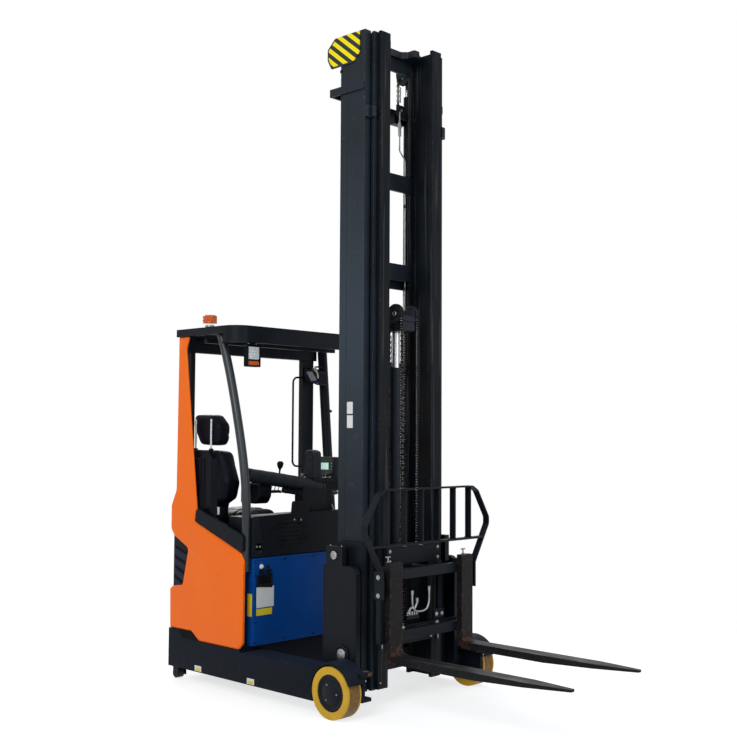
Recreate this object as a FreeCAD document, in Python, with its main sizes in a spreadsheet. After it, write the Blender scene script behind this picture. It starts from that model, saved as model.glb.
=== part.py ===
"""Sit-on reach truck with a three-stage mast, as a parametric FreeCAD document.

Millimetres, +Z up, +X towards the fork tips, +Y to the driver's left-hand entry side of the truck.
The origin is on the floor under the middle of the truck's bounding box.  In every call below, x is
counted from the load wheels' axle and the helpers add axle_x, the axle's own place.
"""
import FreeCAD
import Part
import Sketcher
import math
import os
import re
from FreeCAD import Placement, Rotation, Vector

# --------------------------------------------------------------------------------------
# Driving dimensions: one row of the sheet each, as alias and value
# --------------------------------------------------------------------------------------
SIZES = {
    # whole truck
    "overall_width": 1270,
    "rear_overhang": 1478,
    "guard_height": 2215,
    "mast_top": 3920,
    "gap": 8,
    # chassis and legs
    "chassis_bottom": 79,
    "chassis_top": 265,
    "chassis_rear_top": 315,
    "chassis_front": -770,
    "chassis_wall": 12,
    "deck_top": 397,
    "leg_top_front": 254,
    "leg_width": 130,
    "rail_width": 50,
    "rail_flange": 20,
    "rail_front": 140,
    # wheels
    "load_wheel_diameter": 285,
    "load_wheel_width": 100,
    "fender_thickness": 16,
    "axle_radius": 20,
    "drive_wheel_diameter": 343,
    "drive_wheel_width": 114,
    "drive_wheel_x": -1215,
    "castor_diameter": 60,
    "castor_width": 46,
    "castor_x": -1422,
    "castor_y": -580,
    "castor_trail": 18,
    # battery and cabin
    "battery_front": -750,
    "battery_depth": 220,
    "battery_half_width": 554,
    "battery_bottom": 282,
    "battery_height": 520,
    "cabin_wall_front": -745,
    "cabin_wall": 12,
    "hood_top": 1060,
    "panel_thickness": 24,
    "rear_cover_top": 1000,
    "pillar_radius": 27,
    "pillar_inset": 52,
    "fascia_depth": 105,
    "beam_depth": 47,
    # mast
    "outer_half_width": 350,
    "outer_rear": -238,
    "outer_depth": 198,
    "web": 16,
    "flange": 20,
    "mast_bottom": 94,
    "barrel_radius": 22,
    "rod_radius": 15,
    # fork carriage
    "plate_x": 24,
    "plate_thickness": 24,
    "pivot_x": 66,
    "pivot_z": 400,
    "fork_length": 1153,
    "fork_width": 100,
    "fork_thickness": 40,
    "fork_top": 330,
    "fork_front": 193,
    "fork_spread": 313,
    "backrest_top": 1245,
}

doc = FreeCAD.newDocument("ReachTruck")
sheet = doc.addObject("Spreadsheet::Sheet", "Sizes")
for row, (alias, number) in enumerate(SIZES.items(), start=1):
    sheet.set(f"A{row}", alias)
    sheet.set(f"B{row}", str(number))
    sheet.setAlias(f"B{row}", alias)
doc.recompute()

ALIAS = re.compile(r"\b(" + "|".join(SIZES) + r")\b")
DERIVED = {
    "half_width": "(overall_width / 2)",
    "wheel_radius": "(load_wheel_diameter / 2)",
    "leg_inner": "(overall_width / 2 - leg_width)",
    "drive_radius": "(drive_wheel_diameter / 2)",
    "castor_radius": "(castor_diameter / 2)",
    "outer_front": "(outer_rear + outer_depth)",
    "beam_bottom": "(guard_height - beam_depth)",
    "tub_rear": "(2 - rear_overhang)",
    "battery_rear": "(battery_front - battery_depth)",
    "castor_plate_top": "(chassis_bottom + 58)",
}
DERIVED_WORD = re.compile(r"\b(" + "|".join(DERIVED) + r")\b")


def bound(text):
    """Write an expression's words out as cells of the sheet."""
    words = DERIVED_WORD.sub(lambda match: DERIVED[match.group()], str(text))
    return ALIAS.sub(lambda match: "Sizes." + match.group(), words)


def value(text):
    """The number that an expression of the sheet's words has now."""
    return float(sheet.evalExpression(bound(text)))


AXLE_X = "((rear_overhang - fork_front - fork_length) / 2)"


# --------------------------------------------------------------------------------------
# Helpers: every dimension is a number or an expression of the sheet
# --------------------------------------------------------------------------------------
def bind(item, **expressions):
    """Bind properties of an object to expressions, with Base_x for Placement.Base.x."""
    for name, text in expressions.items():
        item.setExpression(name.replace("Base_", "Placement.Base."), bound(text))


def block(name, x, y, z):
    """A box that fills three spans, each given as its low and high end."""
    item = doc.addObject("Part::Box", name)
    bind(item, Length=f"({x[1]}) - ({x[0]})", Width=f"({y[1]}) - ({y[0]})", Height=f"({z[1]}) - ({z[0]})",
         Base_x=f"{AXLE_X} + ({x[0]})", Base_y=f"{y[0]}", Base_z=f"{z[0]}")
    return item


def rod(name, axis, span, centre, radius):
    """A cylinder along an axis over a span; centre gives the two other coordinates in X, Y, Z order."""
    item = doc.addObject("Part::Cylinder", name)
    bind(item, Radius=f"{radius}", Height=f"({span[1]}) - ({span[0]})")
    turns = {"X": Rotation(Vector(0, 1, 0), 90), "Y": Rotation(Vector(1, 0, 0), -90), "Z": Rotation()}
    item.Placement = Placement(Vector(0, 0, 0), turns[axis])
    places = {"X": (span[0], centre[0], centre[1]), "Y": (centre[0], span[0], centre[1]),
              "Z": (centre[0], centre[1], span[0])}
    x, y, z = places[axis]
    bind(item, Base_x=f"{AXLE_X} + ({x})", Base_y=f"{y}", Base_z=f"{z}")
    return item


def outline_edges(points):
    """Lines and tangent arcs round an outline; a third number on a point rounds that corner."""
    corners = [Vector(value(point[0]), value(point[1]), 0) for point in points]
    radii = [value(point[2]) if len(point) > 2 else 0 for point in points]
    count = len(corners)
    entries = []
    exits = []
    for index, corner in enumerate(corners):
        back = (corners[index - 1] - corner).normalize()
        ahead = (corners[(index + 1) % count] - corner).normalize()
        half_angle = back.getAngle(ahead) / 2
        cut = radii[index] / math.tan(half_angle) if radii[index] else 0
        entries.append(corner + back * cut)
        exits.append(corner + ahead * cut)
    edges = []
    for index, corner in enumerate(corners):
        if radii[index]:
            back = (entries[index] - corner).normalize()
            ahead = (exits[index] - corner).normalize()
            reach = radii[index] / math.sin(back.getAngle(ahead) / 2) - radii[index]
            middle = corner + (back + ahead).normalize() * reach
            edges.append(Part.Arc(entries[index], middle, exits[index]))
        following = entries[(index + 1) % count]
        if (following - exits[index]).Length > 1e-6:
            edges.append(Part.LineSegment(exits[index], following))
    return edges


def join_ends(sketch, edge, following):
    """Make the ends where two neighbouring edges meet coincident; an arc may run either way round."""
    ends = [(sketch.getPoint(edge, one).distanceToPoint(sketch.getPoint(following, other)), one, other)
            for one in (1, 2) for other in (1, 2)]
    _, one, other = min(ends)
    sketch.addConstraint(Sketcher.Constraint("Coincident", edge, one, following, other))


ROLES = {"XY": "XY_Plane", "XZ": "XZ_Plane", "YZ": "YZ_Plane"}


def plate(name, plane, points, span, holes=()):
    """A padded sketch: an outline in the XY, XZ or YZ plane, over a span along the third axis."""
    body = doc.addObject("PartDesign::Body", name)
    sketch = body.newObject("Sketcher::SketchObject", name + "_outline")
    origin = [item for item in body.Origin.OriginFeatures if item.Role == ROLES[plane]][0]
    sketch.AttachmentSupport = (origin, "")
    sketch.MapMode = "FlatFace"
    for outline in (points, *holes):
        first = sketch.GeometryCount
        edges = outline_edges(outline)
        sketch.addGeometry(edges, False)
        for index in range(len(edges)):
            join_ends(sketch, first + index, first + (index + 1) % len(edges))
    pad = body.newObject("PartDesign::Pad", name + "_pad")
    pad.Profile = sketch
    bind(pad, Length=f"({span[1]}) - ({span[0]})")
    body.Tip = pad
    starts = {"XY": dict(Base_x=AXLE_X, Base_z=f"{span[0]}"), "XZ": dict(Base_x=AXLE_X, Base_y=f"{span[1]}"),
              "YZ": dict(Base_x=f"{AXLE_X} + ({span[0]})")}
    bind(body, **starts[plane])
    return body


def inset(points, by):
    """A counter-clockwise outline moved inwards by a distance, with its corner radii."""
    corners = [Vector(value(point[0]), value(point[1]), 0) for point in points]
    moved = []
    for index, corner in enumerate(corners):
        back = (corner - corners[index - 1]).normalize()
        ahead = (corners[(index + 1) % len(corners)] - corner).normalize()
        inward = Vector(-back.y - ahead.y, back.x + ahead.x, 0).normalize()
        place = corner + inward * (by / inward.dot(Vector(-back.y, back.x, 0)))
        radius = value(points[index][2]) - by if len(points[index]) > 2 else 0
        moved.append((place.x, place.y, max(radius, 0)))
    return moved


def fuse(name, *items):
    """One solid from several."""
    joined = doc.addObject("Part::MultiFuse", name)
    joined.Shapes = list(items)
    joined.Refine = True
    return joined


def cut(name, base, *tools):
    """A solid with others taken out of it."""
    tool = tools[0] if len(tools) == 1 else fuse(name + "_tools", *tools)
    result = doc.addObject("Part::Cut", name)
    result.Base = base
    result.Tool = tool
    return result


def mirrored(name, source):
    """The same piece on the other side of the truck."""
    twin = doc.addObject("Part::Mirroring", name)
    twin.Source = source
    twin.Normal = Vector(0, 1, 0)
    return twin


def tube(name, points, radius, bend):
    """A round bar along straight runs with rounded corners."""
    places = [Vector(value(AXLE_X) + value(x), value(y), value(z)) for x, y, z in points]
    edges = []
    start = places[0]
    for index in range(1, len(places) - 1):
        corner = places[index]
        back = (places[index - 1] - corner).normalize()
        ahead = (places[index + 1] - corner).normalize()
        half_angle = back.getAngle(ahead) / 2
        reach = value(bend) / math.tan(half_angle)
        middle = corner + (back + ahead).normalize() * (value(bend) / math.sin(half_angle) - value(bend))
        edges.append(Part.LineSegment(start, corner + back * reach).toShape())
        edges.append(Part.Arc(corner + back * reach, middle, corner + ahead * reach).toShape())
        start = corner + ahead * reach
    edges.append(Part.LineSegment(start, places[-1]).toShape())
    path = Part.Wire(edges)
    profile = Part.Wire(Part.Circle(places[0], places[1] - places[0], value(radius)).toShape())
    item = doc.addObject("Part::Feature", name)
    item.Shape = path.makePipeShell([profile], True, False)
    return item


NODES = []


def node(item, label):
    """Name a finished sub-part; its label is its node's name."""
    item.Label = label
    NODES.append(item)
    return item


def pair(make, label):
    """The right-hand piece and its mirror image on the left, as two nodes."""
    right = node(make(label + "_right"), label + "_right")
    node(mirrored(label + "_left", right), label + "_left")
    return right


def both_sides(make, label):
    """The right-hand piece and its mirror image on the left, as one node of two solids."""
    right = make(label + "_right")
    return node(fuse(label, right, mirrored(label + "_left", right)), label)


# --------------------------------------------------------------------------------------
# Chassis: rear tub, two reach legs, wheels' axles
# --------------------------------------------------------------------------------------
# The reach cylinder's axis, the deck's side edge, the entry floor's thickness, and how far the legs' lower
# rail flange sits above their underside.
REACH_CYLINDER = ("300", "185")
DECK_EDGE = "half_width - 35"
FLOOR_THICKNESS = 12
RAIL_BOTTOM = "chassis_bottom + 16"


def chassis_frame():
    """Rear tub, open below, with the cross wall, the deck and the battery's floor."""
    outline = [("tub_rear", "chassis_bottom"), ("chassis_front", "chassis_bottom"),
               ("chassis_front", "chassis_top"), ("-1176", "chassis_top"), ("-1252", "chassis_rear_top"),
               ("tub_rear", "chassis_rear_top")]
    outside = plate("tub_outside", "XZ", outline, ("-half_width", "half_width"))
    inside = ("-half_width + chassis_wall", "half_width - chassis_wall")
    hollow = block("tub_hollow", ("tub_rear + chassis_wall", "chassis_front - chassis_wall"), inside,
                   ("chassis_bottom - 1", "chassis_rear_top + 1"))
    walls = cut("tub_walls", outside, hollow)
    deck_y = (f"-({DECK_EDGE})", DECK_EDGE)
    cross_x = ("battery_rear - chassis_wall", "battery_rear")
    cross_low = block("cross_wall_low", cross_x, inside, ("chassis_bottom", "chassis_top"))
    cross_high = block("cross_wall_high", cross_x, deck_y, ("chassis_top", "deck_top"))
    deck = block("deck", ("tub_rear", "battery_rear - chassis_wall"), deck_y, ("deck_top - chassis_wall", "deck_top"))
    rear_wall = block("rear_wall", ("tub_rear", "tub_rear + chassis_wall"), deck_y, ("chassis_top", "deck_top"))
    battery_floor = block("battery_floor", ("battery_rear", "chassis_front"), deck_y,
                          ("chassis_top", "battery_bottom"))
    stringers = []
    for side, low in (("right", f"-({DECK_EDGE})"), ("left", f"{DECK_EDGE} - chassis_wall")):
        stringers.append(block("stringer_" + side, ("tub_rear", "battery_rear"), (low, f"{low} + chassis_wall"),
                               ("chassis_top - 40", "deck_top - chassis_wall")))
    ribs = []
    for side, span_y in (("right", ("-half_width + chassis_wall", f"-({DECK_EDGE})")),
                         ("left", (DECK_EDGE, "half_width - chassis_wall"))):
        ribs.append(block("rib_" + side, ("tub_rear", "-1252"), span_y,
                          ("chassis_rear_top - 60", "chassis_rear_top - 50")))
    floor = block("floor_plate", ("-1442", "battery_rear - chassis_wall"), ("132", DECK_EDGE),
                  ("deck_top", f"deck_top + {FLOOR_THICKNESS}"))
    post = block("castor_post", ("castor_x - 40", "castor_x + 40"), ("castor_y - 28", "castor_y + 28"),
                 ("castor_plate_top + gap", "deck_top - chassis_wall"))
    barrel_hole = rod("barrel_hole", "X", ("-1240", "chassis_front + 5"), REACH_CYLINDER, "33")
    solid = fuse("chassis_solid", walls, cross_low, cross_high, deck, rear_wall, battery_floor, floor, post,
                 *stringers, *ribs)
    return cut("chassis_frame", solid, barrel_hole)


def reach_leg(name):
    """Box leg with the fender over the load wheel and the inward C rail for the reach carriage."""
    outer = "-half_width"
    inner = "-leg_inner"
    wheel_z = "wheel_radius"
    arch = "wheel_radius + gap"
    fender = "wheel_radius + gap + fender_thickness"
    beam = block(name + "_beam", ("chassis_front", f"-({fender}) + 30"), (outer, inner),
                 ("chassis_bottom", "leg_top_front"))
    crest = rod(name + "_crest", "Y", (outer, inner), ("0", wheel_z), fender)
    below = block(name + "_below", ("-20", "250"), (f"{outer} - 1", f"{inner} + 1"), ("-50", f"{wheel_z} + 60"))
    under = block(name + "_under", ("-250", "-20"), (f"{outer} - 1", f"{inner} + 1"), ("-50", "chassis_bottom"))
    shell = fuse(name + "_shell", beam, cut(name + "_crest_trimmed", crest, below, under))
    opening = rod(name + "_arch", "Y", (f"{outer} - 1", f"{inner} - 22"), ("0", wheel_z), arch)
    housing = cut(name + "_housing", shell, opening)
    wall = block(name + "_wall", ("-200", "rail_front"), (f"{inner} - 22", inner), (RAIL_BOTTOM, "leg_top_front"))
    top_flange = block(name + "_top_flange", ("chassis_front", "rail_front"), (inner, f"{inner} + rail_width"),
                       ("leg_top_front - rail_flange", "leg_top_front"))
    bottom_flange = block(name + "_bottom_flange", ("chassis_front", "rail_front"), (inner, f"{inner} + rail_width"),
                          (RAIL_BOTTOM, f"{RAIL_BOTTOM} + rail_flange"))
    axle = rod(name + "_axle", "Y", (f"{outer} + 14", f"{inner} - 11"), ("0", wheel_z), "axle_radius")
    return fuse(name, housing, wall, top_flange, bottom_flange, axle)


def load_wheel(name):
    """Polyurethane tyre on a dished hub, turning on the leg's axle."""
    span = ("-half_width", "-half_width + load_wheel_width")
    disc = rod(name + "_disc", "Y", span, ("0", "wheel_radius"), "wheel_radius")
    dish = rod(name + "_dish", "Y", ("-half_width - 1", "-half_width + 12"), ("0", "wheel_radius"),
               "wheel_radius - 42")
    bore = rod(name + "_bore", "Y", ("-half_width + 13.7", "half_width"), ("0", "wheel_radius"),
               "axle_radius + 0.3")
    return cut(name, disc, dish, bore)


def drive_unit():
    """Turning gearbox that carries the drive wheel under the deck."""
    top = "deck_top - chassis_wall - 5"
    ring = rod("drive_ring", "Z", (f"{top} - 16", top), ("drive_wheel_x", "0"), "130")
    leg = block("drive_leg", ("drive_wheel_x - 55", "drive_wheel_x + 55"), ("drive_wheel_width / 2 + 6",
                "drive_wheel_width / 2 + 56"), ("drive_radius - 55", f"{top} - 16"))
    boss = rod("drive_boss", "Y", ("drive_wheel_width / 2 + 6", "drive_wheel_width / 2 + 56"),
               ("drive_wheel_x", "drive_radius"), "62")
    axle = rod("drive_axle", "Y", ("-drive_wheel_width / 2 + 10", "drive_wheel_width / 2 + 6"),
               ("drive_wheel_x", "drive_radius"), "axle_radius")
    return fuse("drive_unit", ring, leg, boss, axle)


def drive_wheel():
    """Solid polyurethane drive wheel, its bore round the drive axle."""
    span = ("-drive_wheel_width / 2", "drive_wheel_width / 2")
    disc = rod("drive_disc", "Y", span, ("drive_wheel_x", "drive_radius"), "drive_radius")
    dish = rod("drive_dish", "Y", ("-drive_wheel_width / 2 - 1", "-drive_wheel_width / 2 + 9.7"),
               ("drive_wheel_x", "drive_radius"), "drive_radius - 60")
    bore = rod("drive_bore", "Y", ("-drive_wheel_width / 2", "drive_wheel_width / 2 + 1"),
               ("drive_wheel_x", "drive_radius"), "axle_radius + 0.3")
    return cut("drive_wheel", disc, dish, bore)


def castor_fork():
    """Swivelling fork of the rear support castor."""
    pivot = ("castor_x", "castor_y")
    swivel = rod("castor_plate", "Z", ("castor_plate_top - 28", "castor_plate_top"), pivot, "36")
    stem = rod("castor_stem", "Z", ("chassis_bottom - 13", "castor_plate_top - 28"), pivot, "20")
    axis_x = "castor_x - castor_trail"
    outside = "(castor_width / 2 + 10)"
    inside = "(castor_width / 2 + 5)"
    span_x = (f"{axis_x} - 14", "castor_x + 20")
    crown = block("castor_crown", span_x, (f"castor_y - {outside}", f"castor_y + {outside}"),
                  ("chassis_bottom - 13", "chassis_bottom - 7"))
    cheeks = [block(f"castor_cheek_{index}", span_x, span_y, ("castor_radius - 12", "chassis_bottom - 13"))
              for index, span_y in enumerate(((f"castor_y - {outside}", f"castor_y - {inside}"),
                                              (f"castor_y + {inside}", f"castor_y + {outside}")))]
    pin = rod("castor_pin", "Y", (f"castor_y - {inside}", f"castor_y + {inside}"), (axis_x, "castor_radius"), "8")
    return fuse("castor_fork", swivel, stem, crown, *cheeks, pin)


def castor_wheel():
    """Small support wheel on the castor's pin."""
    place = ("castor_x - castor_trail", "castor_radius")
    span = ("castor_y - castor_width / 2", "castor_y + castor_width / 2")
    return cut("castor_wheel", rod("castor_disc", "Y", span, place, "castor_radius"),
               rod("castor_bore", "Y", ("castor_y - castor_width", "castor_y + castor_width"), place, "8.3"))


node(chassis_frame(), "chassis_frame")
pair(reach_leg, "reach_leg")
pair(load_wheel, "load_wheel")
node(drive_unit(), "drive_unit")
node(drive_wheel(), "drive_wheel")
node(castor_fork(), "castor_fork")
node(castor_wheel(), "castor_wheel")


# --------------------------------------------------------------------------------------
# Body panels, battery and cabin
# --------------------------------------------------------------------------------------
PILLAR_CURVE = (("-1060", "beam_bottom + 20"), ("-967", "1947"), ("-885", "1664"), ("-820", "1387"),
                ("-787", "1127"), ("-785", "921"), ("-785", "724"))


def front_pillar(name, radius="pillar_radius"):
    """Curved tube down from the roof's front corner, inside the side panel, past the hood."""
    places = [Vector(value(AXLE_X) + value(x), value("pillar_inset - half_width"), value(z))
              for x, z in PILLAR_CURVE]
    line = Part.BSplineCurve()
    line.interpolate(places)
    path = Part.Wire(line.toShape())
    tangent = line.tangent(line.FirstParameter)[0]
    profile = Part.Wire(Part.Circle(places[0], tangent, value(radius)).toShape())
    item = doc.addObject("Part::Feature", name + "_tube")
    item.Shape = path.makePipeShell([profile], True, False)
    above = block(name + "_above", ("-1200", "-900"), ("-half_width", "-half_width + 120"),
                  ("beam_bottom", "guard_height + 60"))
    return cut(name, item, above)


def side_panel(name):
    """Tall rear side panel with its column up to the guard's roof."""
    outline = [("-rear_overhang + 6", "chassis_rear_top + 4"), ("-1250", "chassis_rear_top + 4", 20),
               ("-1173", "chassis_top + 3", 20), ("-790", "chassis_top + 3", 30), ("-755", "chassis_top + 38", 30),
               ("-755", "790", 35), ("-790", "838", 35), ("-1229", "998", 40), ("-1218", "1050", 40),
               ("-1255", "1321", 80), ("-1355", "2090", 30), ("-1325", "beam_bottom", 10),
               ("-1433", "beam_bottom"), ("-1439", "1191", 30), ("-rear_overhang + 2", "1090", 30),
               ("-rear_overhang + 2", "944", 30), ("-1443", "895", 30), ("-1302", "830", 20),
               ("-1357", "597", 20), ("-1447", "582", 20), ("-rear_overhang", "560", 10)]
    panel = plate(name + "_whole", "XZ", outline, ("-half_width", "-half_width + panel_thickness"))
    return cut(name, panel, fuse(name + "_recess", louvre(), side_band()))


def louvre():
    """Black slatted grille let into the side panel's rear edge."""
    outline = [("-1442", "894"), ("-1304", "829", 16), ("-1357", "599", 16), ("-1446", "583")]
    return plate("louvre", "XZ", outline, ("-half_width + 12", "-half_width + panel_thickness"))


def side_band():
    """Black band on the slope above the right side panel."""
    outline = [("-1228", "1003"), ("-757", "837", 20), ("-757", "941", 30), ("-1215", "1085", 20)]
    return plate("side_band", "XZ", outline, ("-half_width + 4", "-half_width + panel_thickness"))


POST_FOOT = "rear_cover_top - 15"


def entry_panel():
    """Left side panel: the rear column with a low skirt and an open entry."""
    outline = [("-rear_overhang + 6", "chassis_rear_top + 4"), ("-1250", "chassis_rear_top + 4", 20),
               ("-1173", "chassis_top + 3", 20), ("-774", "chassis_top + 3", 30), ("-738", "chassis_top + 38", 30),
               ("-738", "797", 25), ("battery_rear", "797", 20),
               ("battery_rear", "deck_top + 23", 40), ("-1345", "deck_top + 23", 60),
               ("-1345", "740", 90), ("-1235", "860", 60), ("-1235", POST_FOOT, 20), ("-1455", POST_FOOT, 60),
               ("-rear_overhang", "700", 60)]
    return plate("side_panel_left", "XZ", outline, ("half_width - panel_thickness", "half_width"))


def rear_cover():
    """Cover across the back, from panel to panel."""
    outline = [("-half_width + panel_thickness", "deck_top"), ("half_width - panel_thickness", "deck_top"),
               ("half_width - panel_thickness", "rear_cover_top", 60),
               ("-half_width + panel_thickness", "rear_cover_top", 60)]
    return plate("rear_cover", "YZ", outline, ("-1466", "-1442"))


def battery_box():
    """Battery between the legs' roots, in front of the cabin."""
    return block("battery_box", ("battery_rear + 2", "battery_front"),
                 ("-battery_half_width", "battery_half_width"),
                 ("battery_bottom", "battery_bottom + battery_height"))


# The hood's lid, which the dashboard's post and foot stand on.
HOOD_LID = "hood_top - 16"


def cabin_front():
    """Hood over the battery: front wall with a raised tab, lid, back and two ends, cut round the pillars."""
    wall_rear = "cabin_wall_front - cabin_wall"
    rear_x = "battery_rear"
    low = "battery_bottom + battery_height + 6"
    edge = "battery_half_width + 15"
    outline = [(f"-({edge})", low), (edge, low), (edge, "hood_top", 20), ("-106", "hood_top"),
               ("-114", "hood_top + 68", 8), ("-241", "hood_top + 70", 8), ("-249", "hood_top"),
               (f"-({edge})", "hood_top - 10", 20)]
    wall = plate("hood_wall", "YZ", outline, (wall_rear, "cabin_wall_front"))
    lid = block("hood_lid", (rear_x, wall_rear), (f"-({edge})", edge), (f"{HOOD_LID} - cabin_wall", HOOD_LID))
    walls_z = (low, f"{HOOD_LID} - cabin_wall")
    ends = [block(f"hood_end_{index}", (rear_x, wall_rear), span, walls_z)
            for index, span in enumerate(((f"-({edge})", f"-({edge}) + cabin_wall"), (f"{edge} - cabin_wall", edge)))]
    back = block("hood_back", (rear_x, f"{rear_x} + cabin_wall"),
                 (f"-({edge}) + cabin_wall", f"{edge} - cabin_wall"), walls_z)
    hood = fuse("hood", wall, lid, back, *ends)
    right = front_pillar("hood_notch_right", "pillar_radius + 1")
    return cut("cabin_front", hood, right, mirrored("hood_notch_left", right))


SEAT_BASE_TOP = "900"


def seat_base():
    """Hollow platform under the seat, over the drive motor."""
    span_x = ("-1442", "battery_rear - 40")
    span_y = ("-596", "120")
    outside = block("base_outside", span_x, span_y, ("deck_top", SEAT_BASE_TOP))
    inside = block("base_inside", (f"{span_x[0]} + 12", f"{span_x[1]} - 12"), ("-584", "108"),
                   ("deck_top - 1", f"{SEAT_BASE_TOP} - 12"))
    return cut("seat_base", outside, inside)


def motor_block():
    """Drive motor and pump as one plain mass inside the seat platform."""
    return rod("motor_block", "Z", ("deck_top", "760"), ("drive_wheel_x", "0"), "95")


def seat_cushion():
    """Cushion of the seat, which faces the entry side."""
    outline = [("-1395", SEAT_BASE_TOP), ("-1030", SEAT_BASE_TOP), ("-1030", "1078", 40), ("-1395", "1078", 40)]
    return plate("seat_cushion", "XZ", outline, ("-424", "-100"))


def seat_back():
    """Backrest of the seat, widest at its shoulders."""
    side = [("-426", SEAT_BASE_TOP), ("-426", "1250", 90), ("-500", "1445", 25), ("-575", "1452", 15),
            ("-600", "1400", 30), ("-594", SEAT_BASE_TOP)]
    front = [("-1395", SEAT_BASE_TOP), ("-1030", SEAT_BASE_TOP), ("-988", "1150", 60), ("-988", "1330", 60),
             ("-1060", "1452", 40), ("-1395", "1452", 40)]
    shaped = doc.addObject("Part::Common", "seat_back")
    shaped.Base = plate("seat_back_side", "YZ", side, ("-1395", "-980"))
    shaped.Tool = plate("seat_back_front", "XZ", front, ("-610", "-420"))
    return shaped


def headrest():
    """Headrest on its two posts."""
    outline = [("-1372", "1462", 50), ("-1084", "1462", 50), ("-1084", "1682", 70), ("-1372", "1682", 70)]
    pad = plate("headrest_pad", "XZ", outline, ("-565", "-440"))
    posts = [rod(f"headrest_post_{index}", "Z", ("1455", "1640"), (x, "-569"), "7")
             for index, x in enumerate(("-1310", "-1153"))]
    return fuse("headrest", pad, *posts)


def arm_console():
    """Armrest box with the hydraulic finger levers beside the driver."""
    outline = [("-1060", "1114", 30), ("-870", "1114", 30), ("-870", "1240", 10), ("-1060", "1240", 10)]
    return cut("arm_console", plate("arm_box", "XZ", outline, ("-405", "-307")), PADDED_BAR)


BAR_SLOPE = 8.4


def dash_bar():
    """Thick padded bar across the cabin's front, lower at the entry side by a slope in degrees."""
    bar = rod("dash_bar", "Y", ("-540", "100"), ("-850", "1301"), "41")
    bar.Placement = Placement(bar.Placement.Base, Rotation(Vector(1, 0, 0), -90 - BAR_SLOPE))
    return bar


PADDED_BAR = dash_bar()


# Underside and top of the dashboard's shelf, which the pod and the display stand on.
SHELF = ("1180", "1262")


def dashboard():
    """Console shell behind the padded bar, carried on a post by the hood."""
    shelf = block("dash_shelf", ("-985", "-815"), ("0", "310"), SHELF)
    post = block("dash_post", ("-890", "-810"), ("-96", "110"), (HOOD_LID, "1215"))
    foot = block("dash_foot", ("-960", "-890"), ("20", "235"), (HOOD_LID, SHELF[0]))
    return cut("dashboard", fuse("dash_console", shelf, post, foot), PADDED_BAR)


def instrument_pod():
    """Keypad pod on the shelf."""
    outline = [("-961", SHELF[1]), ("-843", SHELF[1]), ("-843", "1436", 30), ("-905", "1450", 20),
               ("-938", "1400", 20)]
    return plate("instrument_pod", "XZ", outline, ("20", "95"))


def display():
    """Display beside the pod."""
    return block("display", ("-988", "-812"), ("195", "235"), (SHELF[1], "1400"))


# The steering wheel's axis.
STEERING = ("-1130", "360")


def steering_wheel():
    """Small steering wheel with a knob, left of the driver's lap."""
    x, y = STEERING
    rim = doc.addObject("Part::Torus", "steering_rim")
    bind(rim, Radius1="110", Radius2="13", Base_x=f"{AXLE_X} + ({x})", Base_y=y, Base_z="1150")
    spoke = rod("steering_spoke", "X", (f"{x} - 100", f"{x} + 100"), (y, "1150"), "9")
    hub = rod("steering_hub", "Z", ("1125", "1165"), STEERING, "32")
    knob = rod("steering_knob", "Z", ("1150", "1205"), ("-1045", "420"), "14")
    knob_arm = rod("steering_knob_arm", "Z", ("1140", "1160"), ("-1045", "415"), "12")
    return fuse("steering_wheel", rim, spoke, hub, knob, knob_arm)


def steering_column():
    """Post under the steering wheel, on the entry floor."""
    floor_top = f"deck_top + {FLOOR_THICKNESS}"
    post = rod("steering_post", "Z", (floor_top, "1120"), STEERING, "24")
    foot = block("steering_foot", ("-1180", "-1080"), ("310", "410"), (floor_top, "470"))
    return fuse("steering_column", post, foot)


node(side_panel("side_panel_right"), "side_panel_right")
node(fuse("side_trim_right", louvre(), side_band()), "side_trim_right")
node(entry_panel(), "side_panel_left")
node(rear_cover(), "rear_cover")
node(battery_box(), "battery_box")
node(cabin_front(), "cabin_front")
node(seat_base(), "seat_base")
node(motor_block(), "motor_block")
node(seat_cushion(), "seat_cushion")
node(seat_back(), "seat_back")
node(headrest(), "headrest")
node(arm_console(), "arm_console")
node(PADDED_BAR, "dash_bar")
node(dashboard(), "dashboard")
node(instrument_pod(), "instrument_pod")
node(display(), "display")
node(steering_column(), "steering_column")
node(steering_wheel(), "steering_wheel")


# --------------------------------------------------------------------------------------
# Overhead guard
# --------------------------------------------------------------------------------------
# Underside of the rear beam, measured down from the guard's top.
REAR_BEAM_DROP = 142


def guard_roof():
    """Side beams, rear beam and the fascia that curves round the front corners."""
    top = "guard_height"
    low = "guard_height - fascia_depth"
    edge = "half_width - 3"
    outer = [("-975", f"-({edge})"), ("-845", f"-({edge})", 115), ("-845", edge, 115), ("-975", edge)]
    inner = [("-976", f"-({edge}) + 14"), ("-859", f"-({edge}) + 14", 101), ("-859", f"{edge} - 14", 101),
             ("-976", f"{edge} - 14")]
    ring = plate("fascia_outside", "XY", outer, (low, top))
    hollow = plate("fascia_inside", "XY", inner, (f"{low} - 1", f"{top} - 8"))
    beams = [block("beam_right", ("-1446", "-975"), (f"-({edge})", f"-({edge}) + 64"), ("beam_bottom", top)),
             block("beam_left", ("-1446", "-975"), (f"{edge} - 64", edge), ("beam_bottom", top)),
             block("beam_rear", ("-1446", "-1400"), (f"-({edge}) + 64", f"{edge} - 64"),
                   (f"{top} - {REAR_BEAM_DROP}", f"{top} - 20"))]
    return fuse("guard_roof", cut("fascia", ring, hollow), *beams)


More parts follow.
